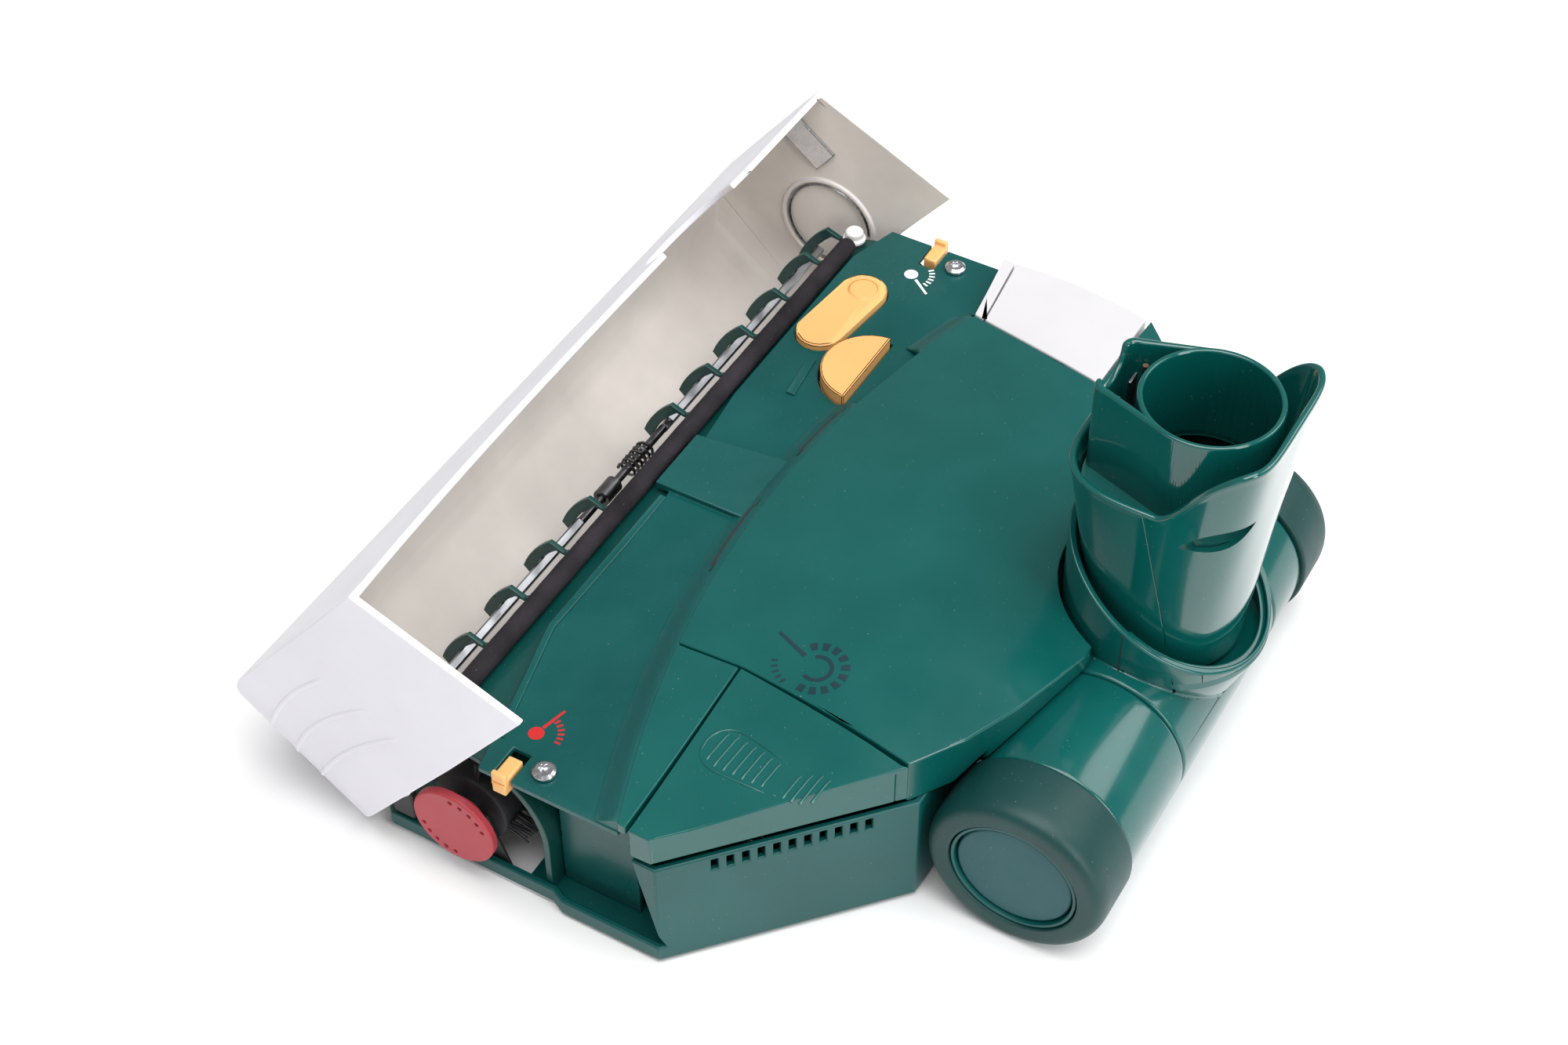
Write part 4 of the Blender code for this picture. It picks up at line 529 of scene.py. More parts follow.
def wheel(side_name, face, side):
    """A tyre, a hub and a disc whose outer face stands at x = face; side is the way it faces."""
    back = face - side * WHEEL_WIDE
    tread = [(RIM_R + 0.0004, back), (WHEEL_R, back), (WHEEL_R, face), (RIM_R + 0.0006, face),
             (RIM_R + 0.0004, face - side * 0.0012)]
    section = rounded(tread, [0.0004, 0.0012, 0.0072, 0.0008, 0.0004], 9)
    tyre = from_parts("tyre_" + side_name + "_skin", [ring_of(section, AXLE)], tyre_green)
    adopt(tyre, "tyre_" + side_name)
    dish = [(AXLE_HOLE, back), (RIM_R, back), (RIM_R, face - side * 0.0008),
            (RIM_R - 0.0012, face - side * 0.0008),
            (RIM_R - 0.0014, face - side * 0.0058), (AXLE_HOLE, face - side * 0.0060)]
    hub = from_parts("wheel_hub_" + side_name + "_skin", [ring_of(rounded(dish, 0.0004, 5), AXLE)],
                     satin_green)
    adopt(hub, "wheel_hub_" + side_name)
    edge = RIM_R - 0.0019
    disc = [(0.0, face - side * 0.0056), (edge, face - side * 0.0056), (edge, face - side * 0.0018),
            (edge * 0.6, face - side * 0.0013), (0.0, face - side * 0.0012)]
    cap = from_parts("hub_cap_" + side_name + "_skin",
                     [turned(rounded(disc, [0, 0.0004, 0.0012, 0.004, 0], 7, False), AXLE)],
                     cap_teal)
    adopt(cap, "hub_cap_" + side_name)


def drum(node, left, right):
    """A hollow drum from x = left to x = right with rounded rims."""
    web = 0.003
    outer = [(AXLE_HOLE, left), (DRUM_R, left), (DRUM_R, right), (AXLE_HOLE, right),
             (AXLE_HOLE, right - web), (DRUM_R - 0.0025, right - web), (DRUM_R - 0.0025, left + web),
             (AXLE_HOLE, left + web)]
    section = rounded(outer, [0.0003, 0.0016, 0.0016, 0.0003, 0.0003, 0.001, 0.001, 0.0003], 7)
    tube = from_parts(node + "_skin", [ring_of(section, AXLE)], gloss_green)
    adopt(tube, node)


wheel("left", -0.0864, -1)
wheel("right", 0.1094, 1)
drum("rear_drum_left", -0.062, -0.0184)
drum("rear_drum_right", 0.0604, 0.085)
print("wheels and drums done")

# %% [markdown]
# ## The crowned skins
#
# The cover, the thin panels beside it and both foot switches share one gently crowned surface. Its
# height over the floor is a formula, so the copies keep their outlines and take their shading from the
# formula's own slope. That removes the faint facets and leaves one unbroken reflection.

# %% Crown
COVER_EDGE = 0.0666
COVER_RISE = 0.0090
BODY_HALF = 0.152
COVER_RIGHT = 0.118


def front_edge(x):
    """y of the crown's front edge: 14 - 31 (x/152)^2 mm, then forward again at a slope of 0.14 past
    x = 118 mm."""
    return 0.014 - 0.031 * (np.minimum(x, COVER_RIGHT) / BODY_HALF) ** 2 + 0.14 * np.maximum(x - COVER_RIGHT,
                                                                                             0.0)


def crown_height(x, y):
    """Height of the crown: the edge plus a rise that grows as a quarter sine wave over 75 mm behind the front
    edge and falls off to both ends, less a droop behind y = -60 mm."""
    span = np.sin(np.clip((front_edge(x) - y) / 0.075, 0.0, 1.0) * np.pi / 2)
    droop = 0.007 * np.clip((-0.060 - y) / 0.060, 0.0, None) ** 2
    return COVER_EDGE + COVER_RISE * (1 - ((x - 0.02) / 0.150) ** 2) * span - droop


def crowned(node, material, width):
    """A softened copy of a crowned skin, shaded from the crown's own slope."""
    mesh = welded(node, 0.02)
    smooth(mesh, 30.0)
    made = carved(edged(finished(node + "_fine", mesh, material), width, 30.0, 3))
    mesh = made.data
    mesh.name = node + "_fine"
    normals = values_of(mesh.corner_normals, "vector", 3)
    x, y, z = values_of(mesh.vertices, "co", 3)[values_of(mesh.loops, "vertex_index", 1, np.int32)].T
    corners = values_of(mesh.polygons, "loop_total", 1, np.int32)
    upward = np.repeat(values_of(mesh.polygons, "normal", 3)[:, 2], corners) > 0.92
    step = 1e-4
    slope_x = (crown_height(x + step, y) - crown_height(x - step, y)) / (2 * step)
    slope_y = (crown_height(x, y + step) - crown_height(x, y - step)) / (2 * step)
    exact = unit(np.stack([-slope_x, -slope_y, np.ones_like(x)], -1))
    on_crown = upward & (np.abs(z - crown_height(x, y)) < 0.0006)
    normals[on_crown] = exact[on_crown]
    mesh.normals_split_custom_set(normals.tolist())
    adopt(made, node)


for node, material in (("top_cover", gloss_green), ("left_fairing", gloss_green), ("left_pedal", gloss_green),
                       ("right_pedal", cream), ("right_edge_strip", cream)):
    crowned(node, material, 0.0007)
print("crowned skins done")

# %% [markdown]
# A sloping band leads from the crown's front edge down to the deck. It is a shallow slope
# swept along the edge curve, cut away round the half-moon button, with two slots in it, each drawn
# as a dark slab: painted shade for the slot's inside.

# %% Sloping band
MOON = (0.0735, 0.0150)


def band(name, start, end):
    """The sloping band between two stations of x. Its section runs from the crown's edge forward 8.5 mm and
    down to the deck, hollowed slightly so that it catches a long highlight."""
    section = np.array([(-0.0005, 0.0662), (0.0012, 0.0660), (0.0030, 0.0650), (0.0052, 0.0636),
                        (0.0070, 0.0626),
                        (0.0085, 0.0620), (0.0085, 0.0617), (-0.0005, 0.0617)])
    x = np.linspace(start, end, 120)
    ring = np.stack([x[None, :] + 0 * section[:, :1], front_edge(x)[None, :] + section[:, :1],
                     section[:, 1:] + 0 * x[None, :]], -1)
    points, quads = grid(ring, False, True)
    index = np.arange(len(section) * len(x)).reshape(len(section), len(x))
    ends = [[index[i, k] for i in picked] for k in (0, -1) for picked in ((0, 1, 2, 7), (2, 3, 4, 7),
                                                                          (4, 5, 6, 7))]
    made = from_parts(name, [(points, np.vstack([quads, ends]))], satin_green, 30.0)
    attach(made, "chassis")
    return made


scallop = from_parts("scallop", [turned(np.array([(0.0, 0.05), (0.0202, 0.05), (0.0202, 0.08), (0.0, 0.08)]),
                                        (*MOON, 0.0), "Z", 96)],
                     gloss_green)
carved(band("cover_band", -0.1515, 0.1180), scallop)


def painted_slot_shade(name, start, end):
    """A slot in the band drawn as a thin black slab that follows it: painted shade for the slot's shadowed
    inside.
    """
    x = np.linspace(start, end, 60)
    taper = np.sqrt(np.clip(1 - ((x - (start + end) / 2) / ((end - start) / 2)) ** 4, 0.0, 1.0))
    middle = front_edge(x) + 0.0030
    half = 0.0011 * taper
    near, far = middle - half, middle + half
    rows = np.stack([np.stack([x, near, 0 * x + 0.0645], -1), np.stack([x, near, 0 * x + 0.0655], -1),
                     np.stack([x, far, 0 * x + 0.0645], -1), np.stack([x, far, 0 * x + 0.0632], -1)])
    # Painted shade: the duct's black plastic stands for the shade inside the slot.
    made = from_parts(name, [grid(rows, False, True)], duct_black, 30.0)
    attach(made, "chassis")


painted_slot_shade("band_slot_left", -0.044, -0.005)
painted_slot_shade("band_slot_right", 0.020, 0.051)
print("band done")

# %% [markdown]
# ## Neck
#
# The neck is a thin flared wall. Its foot is round and its mouth nearly square, with sharper corners
# behind, so each ring between them is a blend of the two. The rim climbs from the front to the rear
# corners and its lip is rounded over. A fine seam runs down the left side.

# %% Neck shell
NECK = (0.0225, -0.127)
FOOT_Z = 0.058
FOOT_R = 0.0260
SKIN = 0.0025


def rim_radius(angle):
    """Half-width of the mouth: ((|cos a|/33)^p + (|sin a|/d)^p)^(-1/p) mm, with d = 36, p = 3.2 in front and
    d = 33.5, p = 5 behind."""
    across, along = np.abs(np.cos(angle)), np.sin(angle)
    depth = np.where(along > 0, 0.0360, 0.0335)
    power = np.where(along > 0, 3.2, 5.0)
    return ((across / 0.0330) ** power + (np.abs(along) / depth) ** power) ** (-1 / power)


def rim_height(angle):
    """The rim's height: 134 mm in front, rising on a smooth step to 162 mm behind."""
    behind = np.clip((-np.sin(angle) - 0.05) / 0.70, 0.0, 1.0)
    return 0.134 + 0.028 * behind ** 2 * (3 - 2 * behind)


def neck_point(angle, level, shrink, lift=0.0):
    """A point of the neck by direction, level (0 foot, 1 mouth) and depth inside its outer face."""
    radius = FOOT_R + (rim_radius(angle) - FOOT_R) * level - shrink
    height = FOOT_Z + (rim_height(angle) - FOOT_Z) * level + lift
    return np.stack([NECK[0] + radius * np.cos(angle), NECK[1] + radius * np.sin(angle), height], -1)


def neck_skin():
    """Rows up the outside, over the lip, down the inside and across the foot; columns crowd at the seam."""
    seam = math.radians(176)
    near = seam + np.array([-0.016, -0.011, -0.008, -0.005, -0.0025, 0.0, 0.0025, 0.005, 0.008, 0.011, 0.016])
    plain = np.linspace(0, 2 * np.pi, 300, endpoint=False)
    plain = plain[np.abs(plain - seam) > 0.022]
    column = np.sort(np.concatenate([plain, near]))
    up = np.linspace(0.0, 1.0, 44)
    lip = np.linspace(0, np.pi, 11)[1:-1]
    level = np.concatenate([up, 0 * lip + 1.0, up[::-1]])[:, None]
    inward = np.concatenate([0 * up, SKIN / 2 * (1 - np.cos(lip)), 0 * up + SKIN])[:, None]
    drop = np.concatenate([0 * up - 0.0011 * (up > 0.999), 0.0011 * (np.sin(lip) - 1),
                           0 * up - 0.0011 * (up[::-1] > 0.999)])[:, None]
    lean = math.radians(24) * np.clip((1 - level) / 0.83, 0.0, 1.0) * np.exp(-((column - seam) / 0.55) ** 2)
    groove = 0.00035 * np.exp(-((column - seam) / 0.0045) ** 2) * (level > 0.15)
    groove = groove * (inward < 0.0002)
    return grid(neck_point(column + lean, level, inward + groove, drop), True, True)


neck = from_parts("neck_skin", [neck_skin()], neck_green, 50.0)


def lens_cutter():
    """A leaf-shaped punch through the shell's rear left face: two arcs that meet at its ends."""
    middle = math.radians(219)
    t = np.linspace(-1, 1, 40)
    half = 0.0042 * (1 - t ** 2)
    along = 0.0128 * t
    outline = np.concatenate([np.stack([along, half], -1), np.stack([along, -half], -1)[::-1][1:-1]])
    outward = unit(np.array([math.cos(middle), math.sin(middle), 0.10]))
    across = unit(np.array([-outward[1], outward[0], 0.0]))
    rising = np.cross(outward, across)
    tilt = math.radians(24)
    first = across * math.cos(tilt) + rising * math.sin(tilt)
    second = rising * math.cos(tilt) - across * math.sin(tilt)
    centre = neck_point(np.array(middle), np.array(0.70), 0.0)
    flat = centre + outline[:, :1] * first + outline[:, 1:] * second
    ring = np.stack([flat - 0.006 * outward, flat + 0.004 * outward])
    return filled(from_parts("lens_punch", [grid(ring)], neck_green))


carved(neck, lens_cutter())
neck.data.set_sharp_from_angle(angle=math.radians(50))
adopt(neck, "neck_shell")
print("neck:", len(neck.data.polygons), "faces")

# %% [markdown]
# The spigot stands inside the neck: a round tube for the wand, wrapped by an outer wall that also makes
# a narrow pocket in front for the contacts. The pocket's front is scooped out.

# %% Spigot
TUBE = (0.0225, -0.131)
TUBE_R = 0.0235
SPIGOT_TOP = 0.160
SPIGOT_FLOOR = 0.124


def arc(centre, radius, start, end, count):
    """Points along an arc, by angle in degrees."""
    angle = np.radians(np.linspace(start, end, count))
    return np.stack([centre[0] + radius * np.cos(angle), centre[1] + radius * np.sin(angle)], -1)


def spigot_outline(shrink):
    """The wall from above: most of a circle, then the two round corners of the pocket in front."""
    radius = TUBE_R - shrink
    front = TUBE[1] + 0.0350 - shrink
    half = 0.0145 - shrink
    corner = 0.004
    flank_right = np.linspace((TUBE[0] + radius * math.cos(math.radians(22)),
                               TUBE[1] + radius * math.sin(math.radians(22))),
                              (TUBE[0] + half, front - corner), 16)[1:-1]
    flank_left = flank_right[::-1] * (-1, 1) + (2 * TUBE[0], 0)
    nose = np.linspace((TUBE[0] + half - corner, front), (TUBE[0] - half + corner, front), 40)[1:-1]
    return np.concatenate([arc(TUBE, radius, 158, 382, 130), flank_right,
                           arc((TUBE[0] + half - corner, front - corner), corner, 0, 90, 9),
                           nose, arc((TUBE[0] - half + corner, front - corner), corner, 90, 180, 9),
                           flank_left])


def spigot_wall():
    """The outer wall with a rounded lip, its top scooped by a circle of 9.5 mm at the front."""
    lip = np.linspace(0, np.pi, 9)
    shrink = np.concatenate([[0.0], 0.001 * (1 - np.cos(lip)), [0.002]])
    outlines = np.stack([spigot_outline(value) for value in shrink])
    off = outlines[..., 0] - TUBE[0]
    scoop = np.sqrt(np.clip(0.0095 ** 2 - off ** 2, 0.0, None)) - 0.001
    front = np.clip((outlines[..., 1] - TUBE[1] - 0.027) / 0.003, 0.0, 1.0)
    top = SPIGOT_TOP - np.clip(scoop, 0.0, None) * front
    height = top + np.concatenate([[0.0], 0.0009 * (np.sin(lip) - 1), [0.0]])[:, None]
    height[0] = SPIGOT_FLOOR
    height[-1] = SPIGOT_FLOOR
    return grid(np.concatenate([outlines, height[..., None]], -1), True, True)


def spigot_floor():
    """The floor between the tube and the neck's inside."""
    angle = np.linspace(0, 2 * np.pi, 160, endpoint=False)
    level = (SPIGOT_FLOOR - FOOT_Z) / (rim_height(angle) - FOOT_Z)
    outer = neck_point(angle, level, SKIN + 0.0004)
    inner = np.stack([TUBE[0] + (TUBE_R - 0.002) * np.cos(angle), TUBE[1] + (TUBE_R - 0.002) * np.sin(angle),
                      0 * angle], -1)
    flat = np.array([1, 1, 0.0])
    low, high = (0, 0, SPIGOT_FLOOR - 0.001), (0, 0, SPIGOT_FLOOR + 0.0015)
    rows = [outer * flat + low, outer * flat + high, inner * flat + high, inner * flat + low]
    return grid(np.stack(rows), True, True)


tube_section = rounded([(TUBE_R, SPIGOT_FLOOR - 0.0005), (TUBE_R, SPIGOT_TOP), (TUBE_R - 0.002, SPIGOT_TOP),
                        (TUBE_R - 0.002, SPIGOT_FLOOR - 0.0005)], [0.0002, 0.0010, 0.0010, 0.0002], 6)
spigot = from_parts("spigot_skin", [spigot_wall(), ring_of(tube_section, (*TUBE, 0.0), "Z"), spigot_floor()],
                    neck_green, 45.0)
adopt(spigot, "suction_spigot")
print("spigot:", len(spigot.data.polygons), "faces")

# %% [markdown]
# The yoke is the drum's middle length with a cup standing on it. The cup's rim slopes down to the
# rear at about 29 degrees. A collar lies inside its rear half, and a straight seam runs
# down the outside at the left.

# %% Yoke
CUP_R = 0.0360
RIM_SLOPE = 0.04 / 0.072


def yoke():
    """Drum and cup joined, then the sloping lid, the well and the airway cut away."""
    drum_section = rounded([(0.0, -0.018), (DRUM_R, -0.018), (DRUM_R, 0.060), (0.0, 0.060)],
                           [0, 0.0014, 0.0014, 0], 6, False)
    made = from_parts("yoke_skin", [turned(drum_section, AXLE, "X", 128)], gloss_green)
    cup_section = np.array([(0.0, 0.105), (CUP_R, 0.105), (CUP_R, 0.066), (CUP_R - 0.002, 0.056),
                            (CUP_R - 0.008, 0.040), (0.0, 0.030)])
    cup = from_parts("cup", [turned(cup_section, (*NECK, 0.0), "Z", 128)], gloss_green)
    union = made.modifiers.new("join", "BOOLEAN")
    union.operation = "UNION"
    union.solver = "EXACT"
    union.object = cup
    carved(made)
    bpy.data.objects.remove(cup)
    lid = from_parts("lid", [block((-0.06, -0.08, 0.0), (0.06, 0.08, 0.08))], gloss_green)
    lid.data.transform(Matrix.Translation((*NECK, 0.080)) @ Matrix.Rotation(math.atan(RIM_SLOPE), 4, "X"))
    well_section = np.array([(0.0, 0.120), (CUP_R - SKIN, 0.120), (CUP_R - SKIN, 0.058), (0.0205, 0.052),
                             (0.0205, 0.026), (0.0, 0.026)])
    well = from_parts("well", [turned(well_section, (*NECK, 0.0), "Z", 128)], gloss_green)
    airway_section = np.array([(0.0, NECK[1]), (0.018, NECK[1]), (0.018, AXLE[1] + 0.05),
                               (0.0, AXLE[1] + 0.05)])
    airway = from_parts("airway", [turned(airway_section, (NECK[0], 0.0, 0.0), "Z", 48)], gloss_green)
    airway.data.transform(Matrix.Translation((NECK[0], 0.0, AXLE[2])) @ Matrix.Rotation(math.radians(-90), 4,
                                                                                        "X")
                          @ Matrix.Translation((-NECK[0], 0.0, 0.0)))
    carved(made, lid, well, airway)
    smooth(made.data, 30.0)
    return edged(made, 0.0007, 30.0, 3)


adopt(yoke(), "neck_yoke")


def collar():
    """Half a ring inside the cup, 2 mm under the sloping rim."""
    angle = np.radians(np.linspace(178, 372, 120))
    inner, outer = 0.0312, CUP_R - 0.0010
    section = rounded([(inner, -0.010), (inner, 0.0), (outer, 0.0), (outer, -0.010)],
                      [0.0002, 0.0007, 0.0002, 0.0002], 5)
    radius, drop = section[:, :1], section[:, 1:]
    y = radius * np.sin(angle)
    z = 0.080 + RIM_SLOPE * y - 0.0022 + drop
    rows = np.stack([NECK[0] + radius * np.cos(angle), NECK[1] + y, np.maximum(z, 0.0581)], -1)
    made = filled(from_parts("cup_collar", [grid(rows, False, True)], gloss_green, 30.0))
    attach(made, "yoke")


collar()


def seam_line(name, points, width, material, body):
    """A thin dark line laid along a path, half sunk into the surface: a square bead along the path."""
    path = np.asarray(points, float)
    outward = unit((path - (*NECK, 0.0)) * (1.0, 1.0, 0.0))
    side = np.cross(unit(np.gradient(path, axis=0)), outward)
    rows = np.stack([path + width / 2 * side - 0.0004 * outward, path + width / 2 * side + 0.00004 * outward,
                     path - width / 2 * side + 0.00004 * outward, path - width / 2 * side - 0.0004 * outward])
    made = from_parts(name, [grid(rows, False, True)], material, 30.0)
    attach(made, body)


seam_angle = math.radians(177)
seam_height = np.linspace(0.0625, 0.080 + RIM_SLOPE * CUP_R * math.sin(seam_angle) - 0.0006, 24)
seam_line("cup_seam", np.stack([NECK[0] + CUP_R * math.cos(seam_angle) + 0 * seam_height,
                                NECK[1] + CUP_R * math.sin(seam_angle) + 0 * seam_height, seam_height], -1),
                                0.00045, duct_black, "yoke")
print("yoke done")

# %% [markdown]
# ## Brushes and seal
#
# A roller is a black core with four spiral rows of tufts. Each tuft is a bundle of stiff bristles, thin
# three-sided spikes that lean a little at random about their tuft's own direction. The seal is a felt
# sleeve over a round cord, so its outline wanders by a few hundredths of a millimetre.

# %% Rollers
BRUSH = (0.0, 0.0476, 0.026)
random = np.random.default_rng(7)


def roller(side_name, side):
    """Tufts every 4.5 mm on four rows that twist 80 degrees over the roller's length."""
    inner, outer = 0.014, 0.145
    core = rounded([(0.0034, side * inner), (0.0145, side * inner), (0.0145, side * outer),
                    (0.0034, side * outer)],
                   [0.0002, 0.001, 0.001, 0.0002], 5)
    tufts = 29
    station = np.linspace(0.02, 0.98, tufts)
    row = np.arange(4)
    bristles = 9
    along = side * (inner + (outer - inner) * station)
    base = row[None, :] * np.pi / 2 + side * math.radians(80) * station[:, None]
    shape = (tufts, 4, bristles)
    x = along[:, None, None] + random.uniform(-0.0013, 0.0013, shape)
    turn = base[:, :, None] + random.uniform(-0.075, 0.075, shape)
    tip_x = x + random.uniform(-0.0011, 0.0011, shape)
    tip_turn = turn + random.uniform(-0.04, 0.04, shape)
    reach = 0.0232 - random.uniform(0.0, 0.0006, shape)
    corner = np.radians([0, 120, 240])
    thick = 0.00042

    def triangle(x, turn, reach, size):
        """The three corners of each bristle's end, at a distance from the axis."""
        x, turn, reach = x[..., None], turn[..., None], np.asarray(reach)[..., None]
        return np.stack([x + size * np.cos(corner),
                         reach * np.cos(turn) - size * np.sin(turn) * np.sin(corner),
                         reach * np.sin(turn) + size * np.cos(turn) * np.sin(corner)], -1)

    foot = triangle(x, turn, 0.0140, thick)
    head = triangle(tip_x, tip_turn, reach, 0.6 * thick)
    points = np.stack([foot, head], 3).reshape(-1, 6, 3) + (0.0, BRUSH[1], BRUSH[2])
    start = np.arange(len(points))[:, None, None] * 6
    walls = (start + np.array([[0, 1, 4, 3], [1, 2, 5, 4], [2, 0, 3, 5]])).reshape(-1, 4)
    mesh = bpy.data.meshes.new("bristles")
    tips = (start[:, 0] + np.array([3, 4, 5])).reshape(-1, 3)
    core_points, core_quads = ring_of(core, BRUSH, "X", 64)
    spikes = points.reshape(-1, 3)
    faces = walls.tolist() + tips.tolist() + (core_quads + len(spikes)).tolist()
    mesh.from_pydata(np.concatenate([spikes, core_points]).tolist(), [], faces)
    smooth(mesh, 50.0)
    adopt(finished("brush_roller_" + side_name + "_tufted", mesh, bristle), "brush_roller_" + side_name)
    return len(points)


print("bristles:", roller("left", -1) + roller("right", 1))

# %% Seal
def seal():
    """A cylinder along X whose radius wanders: 3.54 mm + 0.05 mm sin(7 a + 90 x) sin(400 x), and a random
    ripple of up to 0.03 mm."""
    x = np.linspace(-0.1475, 0.1370, 260)[:, None]
    angle = np.linspace(0, 2 * np.pi, 40, endpoint=False)[None, :]
    radius = 0.00354 + 0.00005 * np.sin(7 * angle + 90 * x) * np.sin(400 * x) + random.uniform(-0.00003,
                                                                                               0.00003,
                                                                                               (260, 40))
    radius[0] = radius[-1] = 0.0031
    rows = np.stack([x + 0 * angle, 0.0596 + radius * np.cos(angle), 0.06097 + radius * np.sin(angle)], -1)
    caps = [np.stack([0 * angle[0] + rows[k, 0, 0], 0 * angle[0] + 0.0596, 0 * angle[0] + 0.06097],
                     -1)[None] for k in (0, -1)]
    return grid(np.concatenate([caps[0], rows, caps[1]]))


adopt(from_parts("seal_strip_felted", [seal()], felt, 60.0), "seal_strip")
print("seal done")

# %% [markdown]
# ## Bumper
#
# The bumper is one white moulding, given a paler, warmer beige on the faces inside the channel and a
# bluish white outside. Each face is sorted by whether it looks towards a line inside the closed channel.

# %% Bumper with two sides
HINGE = np.array([0.0, 0.088, 0.0055])
OPEN = math.radians(52)


def swung(points, angle):
    """Points turned about the hinge: by OPEN from the open place to the shut one, by -OPEN back."""
    off = points - HINGE
    y = off[..., 1] * math.cos(angle) - off[..., 2] * math.sin(angle)
    z = off[..., 1] * math.sin(angle) + off[..., 2] * math.cos(angle)
    return np.stack([off[..., 0], y, z], -1) + HINGE


mesh = welded("bumper_hood")
smooth(mesh)
mesh.materials.clear()
mesh.materials.append(outer_white)
mesh.materials.append(inner_beige)
place = swung(values_of(mesh.polygons, "center", 3), OPEN)
way = swung(values_of(mesh.polygons, "normal", 3) + HINGE, OPEN) - HINGE
middle = np.stack([np.clip(place[:, 0], -0.120, 0.120), 0 * place[:, 1] + 0.045, 0 * place[:, 2] + 0.030], -1)
inner = ((unit(middle - place) * way).sum(axis=1) > 0.10).astype(np.int32)
mesh.polygons.foreach_set("material_index", inner)
hood = finished("bumper_hood_fine", mesh, None)
edged(hood, 0.0006, segments=3)
adopt(hood, "bumper_hood")
print("bumper faces inside:", int(inner.sum()), "of", len(inner))


# %% [markdown]
# Three shallow raised curves decorate the left cheek. Each is a low bead with a domed section that
# fades at its ends.

# %% Cheek curves
def bead(path, outward, side, width, height):
    """(points, quads) of a domed bead along a path; its height fades to nothing at the ends."""
    t = np.linspace(0, 1, len(path))
    fade = np.sqrt(np.clip(np.minimum(t, 1 - t) / 0.12, 0.0, 1.0))[None, :, None]
    angle = np.linspace(0, np.pi, 9)[:, None, None]
    rise = height * np.sin(angle) * fade - 0.00004
    rows = path[None] + side[None] * width / 2 * np.cos(angle) + outward * rise
    return grid(np.concatenate([rows, (path + 0 * side - outward * 0.0006)[None]]), False, True)


def cheek_face(y):
    """x of the left cheek's outer face: flat, then round the front corner, then drawn in towards the rear."""
    corner, front = 0.022, 0.094
    ahead = np.clip(y - (front - corner), 0.0, corner)
    return -(0.159 - corner + np.sqrt(corner ** 2 - ahead ** 2)) + 0.0034 * np.clip((0.015 - y) / 0.047, 0.0,
                                                                                    1.0)


def cheek_curve(name, corners):
    """A bead along a smooth curve through three (y, z) corners on the left cheek's outer face."""
    t = np.linspace(0, 1, 60)[:, None]
    first, middle, last = (np.array(corner) for corner in corners)
    curve = (1 - t) ** 2 * first + 2 * t * (1 - t) * middle + t ** 2 * last
    path = np.concatenate([cheek_face(curve[:, :1]), curve], 1)
    outward = np.array([-1.0, 0.0, 0.0])
    side = np.cross(unit(np.gradient(path, axis=0)), outward)
    points, quads = bead(path, outward, side, 0.0018, 0.0005)
    made = from_parts(name, [(swung(points, -OPEN), quads)], outer_white, 30.0)
    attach(made, "bumper")


cheek_curve("cheek_curve_top", [(0.0800, 0.0500), (0.0560, 0.0580), (0.0290, 0.0526)])
cheek_curve("cheek_curve_middle", [(0.0900, 0.0345), (0.0600, 0.0480), (0.0235, 0.0362)])
cheek_curve("cheek_curve_low", [(0.0905, 0.0240), (0.0570, 0.0335), (0.0230, 0.0226)])
print("cheek curves done")

# %% [markdown]
# ## Deck details
#
# A long low step runs along the front of the deck at the left, so the deck there looks like two planes,
# and a short one runs beside the button. Both are shallow mouldings with soft edges.

# %% Deck mouldings
DECK_TOP = 0.0616


def deck_rise(name, outline):
    """A flat-topped moulding on the deck, 0.9 mm high, with a plan outline and soft edges."""
    ring = np.array([[(x, y, z) for x, y in outline] for z in (DECK_TOP - 0.0004, DECK_TOP + 0.0009)])
    points, quads = grid(ring)
    mesh = bpy.data.meshes.new(name)
    count = len(outline)
    ends = [list(range(count))[::-1], list(range(count, 2 * count))]
    mesh.from_pydata(points.tolist(), [], quads.tolist() + ends)
    shape = bmesh.new()
    shape.from_mesh(mesh)
    bmesh.ops.recalc_face_normals(shape, faces=shape.faces)
    shape.to_mesh(mesh)
    shape.free()
    smooth(mesh)
    made = edged(finished(name, mesh, deck_green), 0.0004, segments=3)
    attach(made, body_of["upper_deck"])


deck_rise("deck_rise_left", [(-0.0900, 0.0500), (-0.0185, 0.0500), (-0.0185, 0.0475), (-0.0450, 0.0470),
                             (-0.0900, 0.0475), (-0.1380, 0.0355), (-0.1380, 0.0380)])
deck_rise("deck_rise_right", [(0.0500, 0.0345), (0.0710, 0.0370), (0.0690, 0.0400), (0.0500, 0.0380)])
print("deck mouldings done")

# %% [markdown]
# ## Printed signs
#
# Three small pictograms are printed on the head: a ring with ticks on the cover, and a dot with a bar
# and ticks at each end of the deck. Each stroke is a thin slab that follows the surface under it. They
# are plain generic signs and carry no words.

# %% Pictograms
def stroke(left, right, height):
    """(points, quads) of a slab between two plan paths, 0.07 mm proud of the surface z = height(x, y)."""
    def at(path, rise):
        return np.concatenate([path, (height(path[:, 0], path[:, 1]) + rise)[:, None]], 1)

    rows = np.stack([at(left, -0.0002), at(left, 0.00007), at(right, 0.00007), at(right, -0.0002)])
    points, quads = grid(rows, False, True)
    index = np.arange(rows.shape[0] * rows.shape[1]).reshape(rows.shape[:2])
    return points, np.vstack([quads, [index[:, 0], index[:, -1]]])


def bar(start, end, wide, narrow, height):
    """A tapered bar from one plan point to another."""
    t = np.linspace(0, 1, 8)[:, None]
    start, end = np.array(start), np.array(end)
    path = start + (end - start) * t
    across = np.array([-(end - start)[1], (end - start)[0]]) / np.linalg.norm(end - start)
    half = (wide + (narrow - wide) * t) / 2
    return stroke(path + across * half, path - across * half, height)


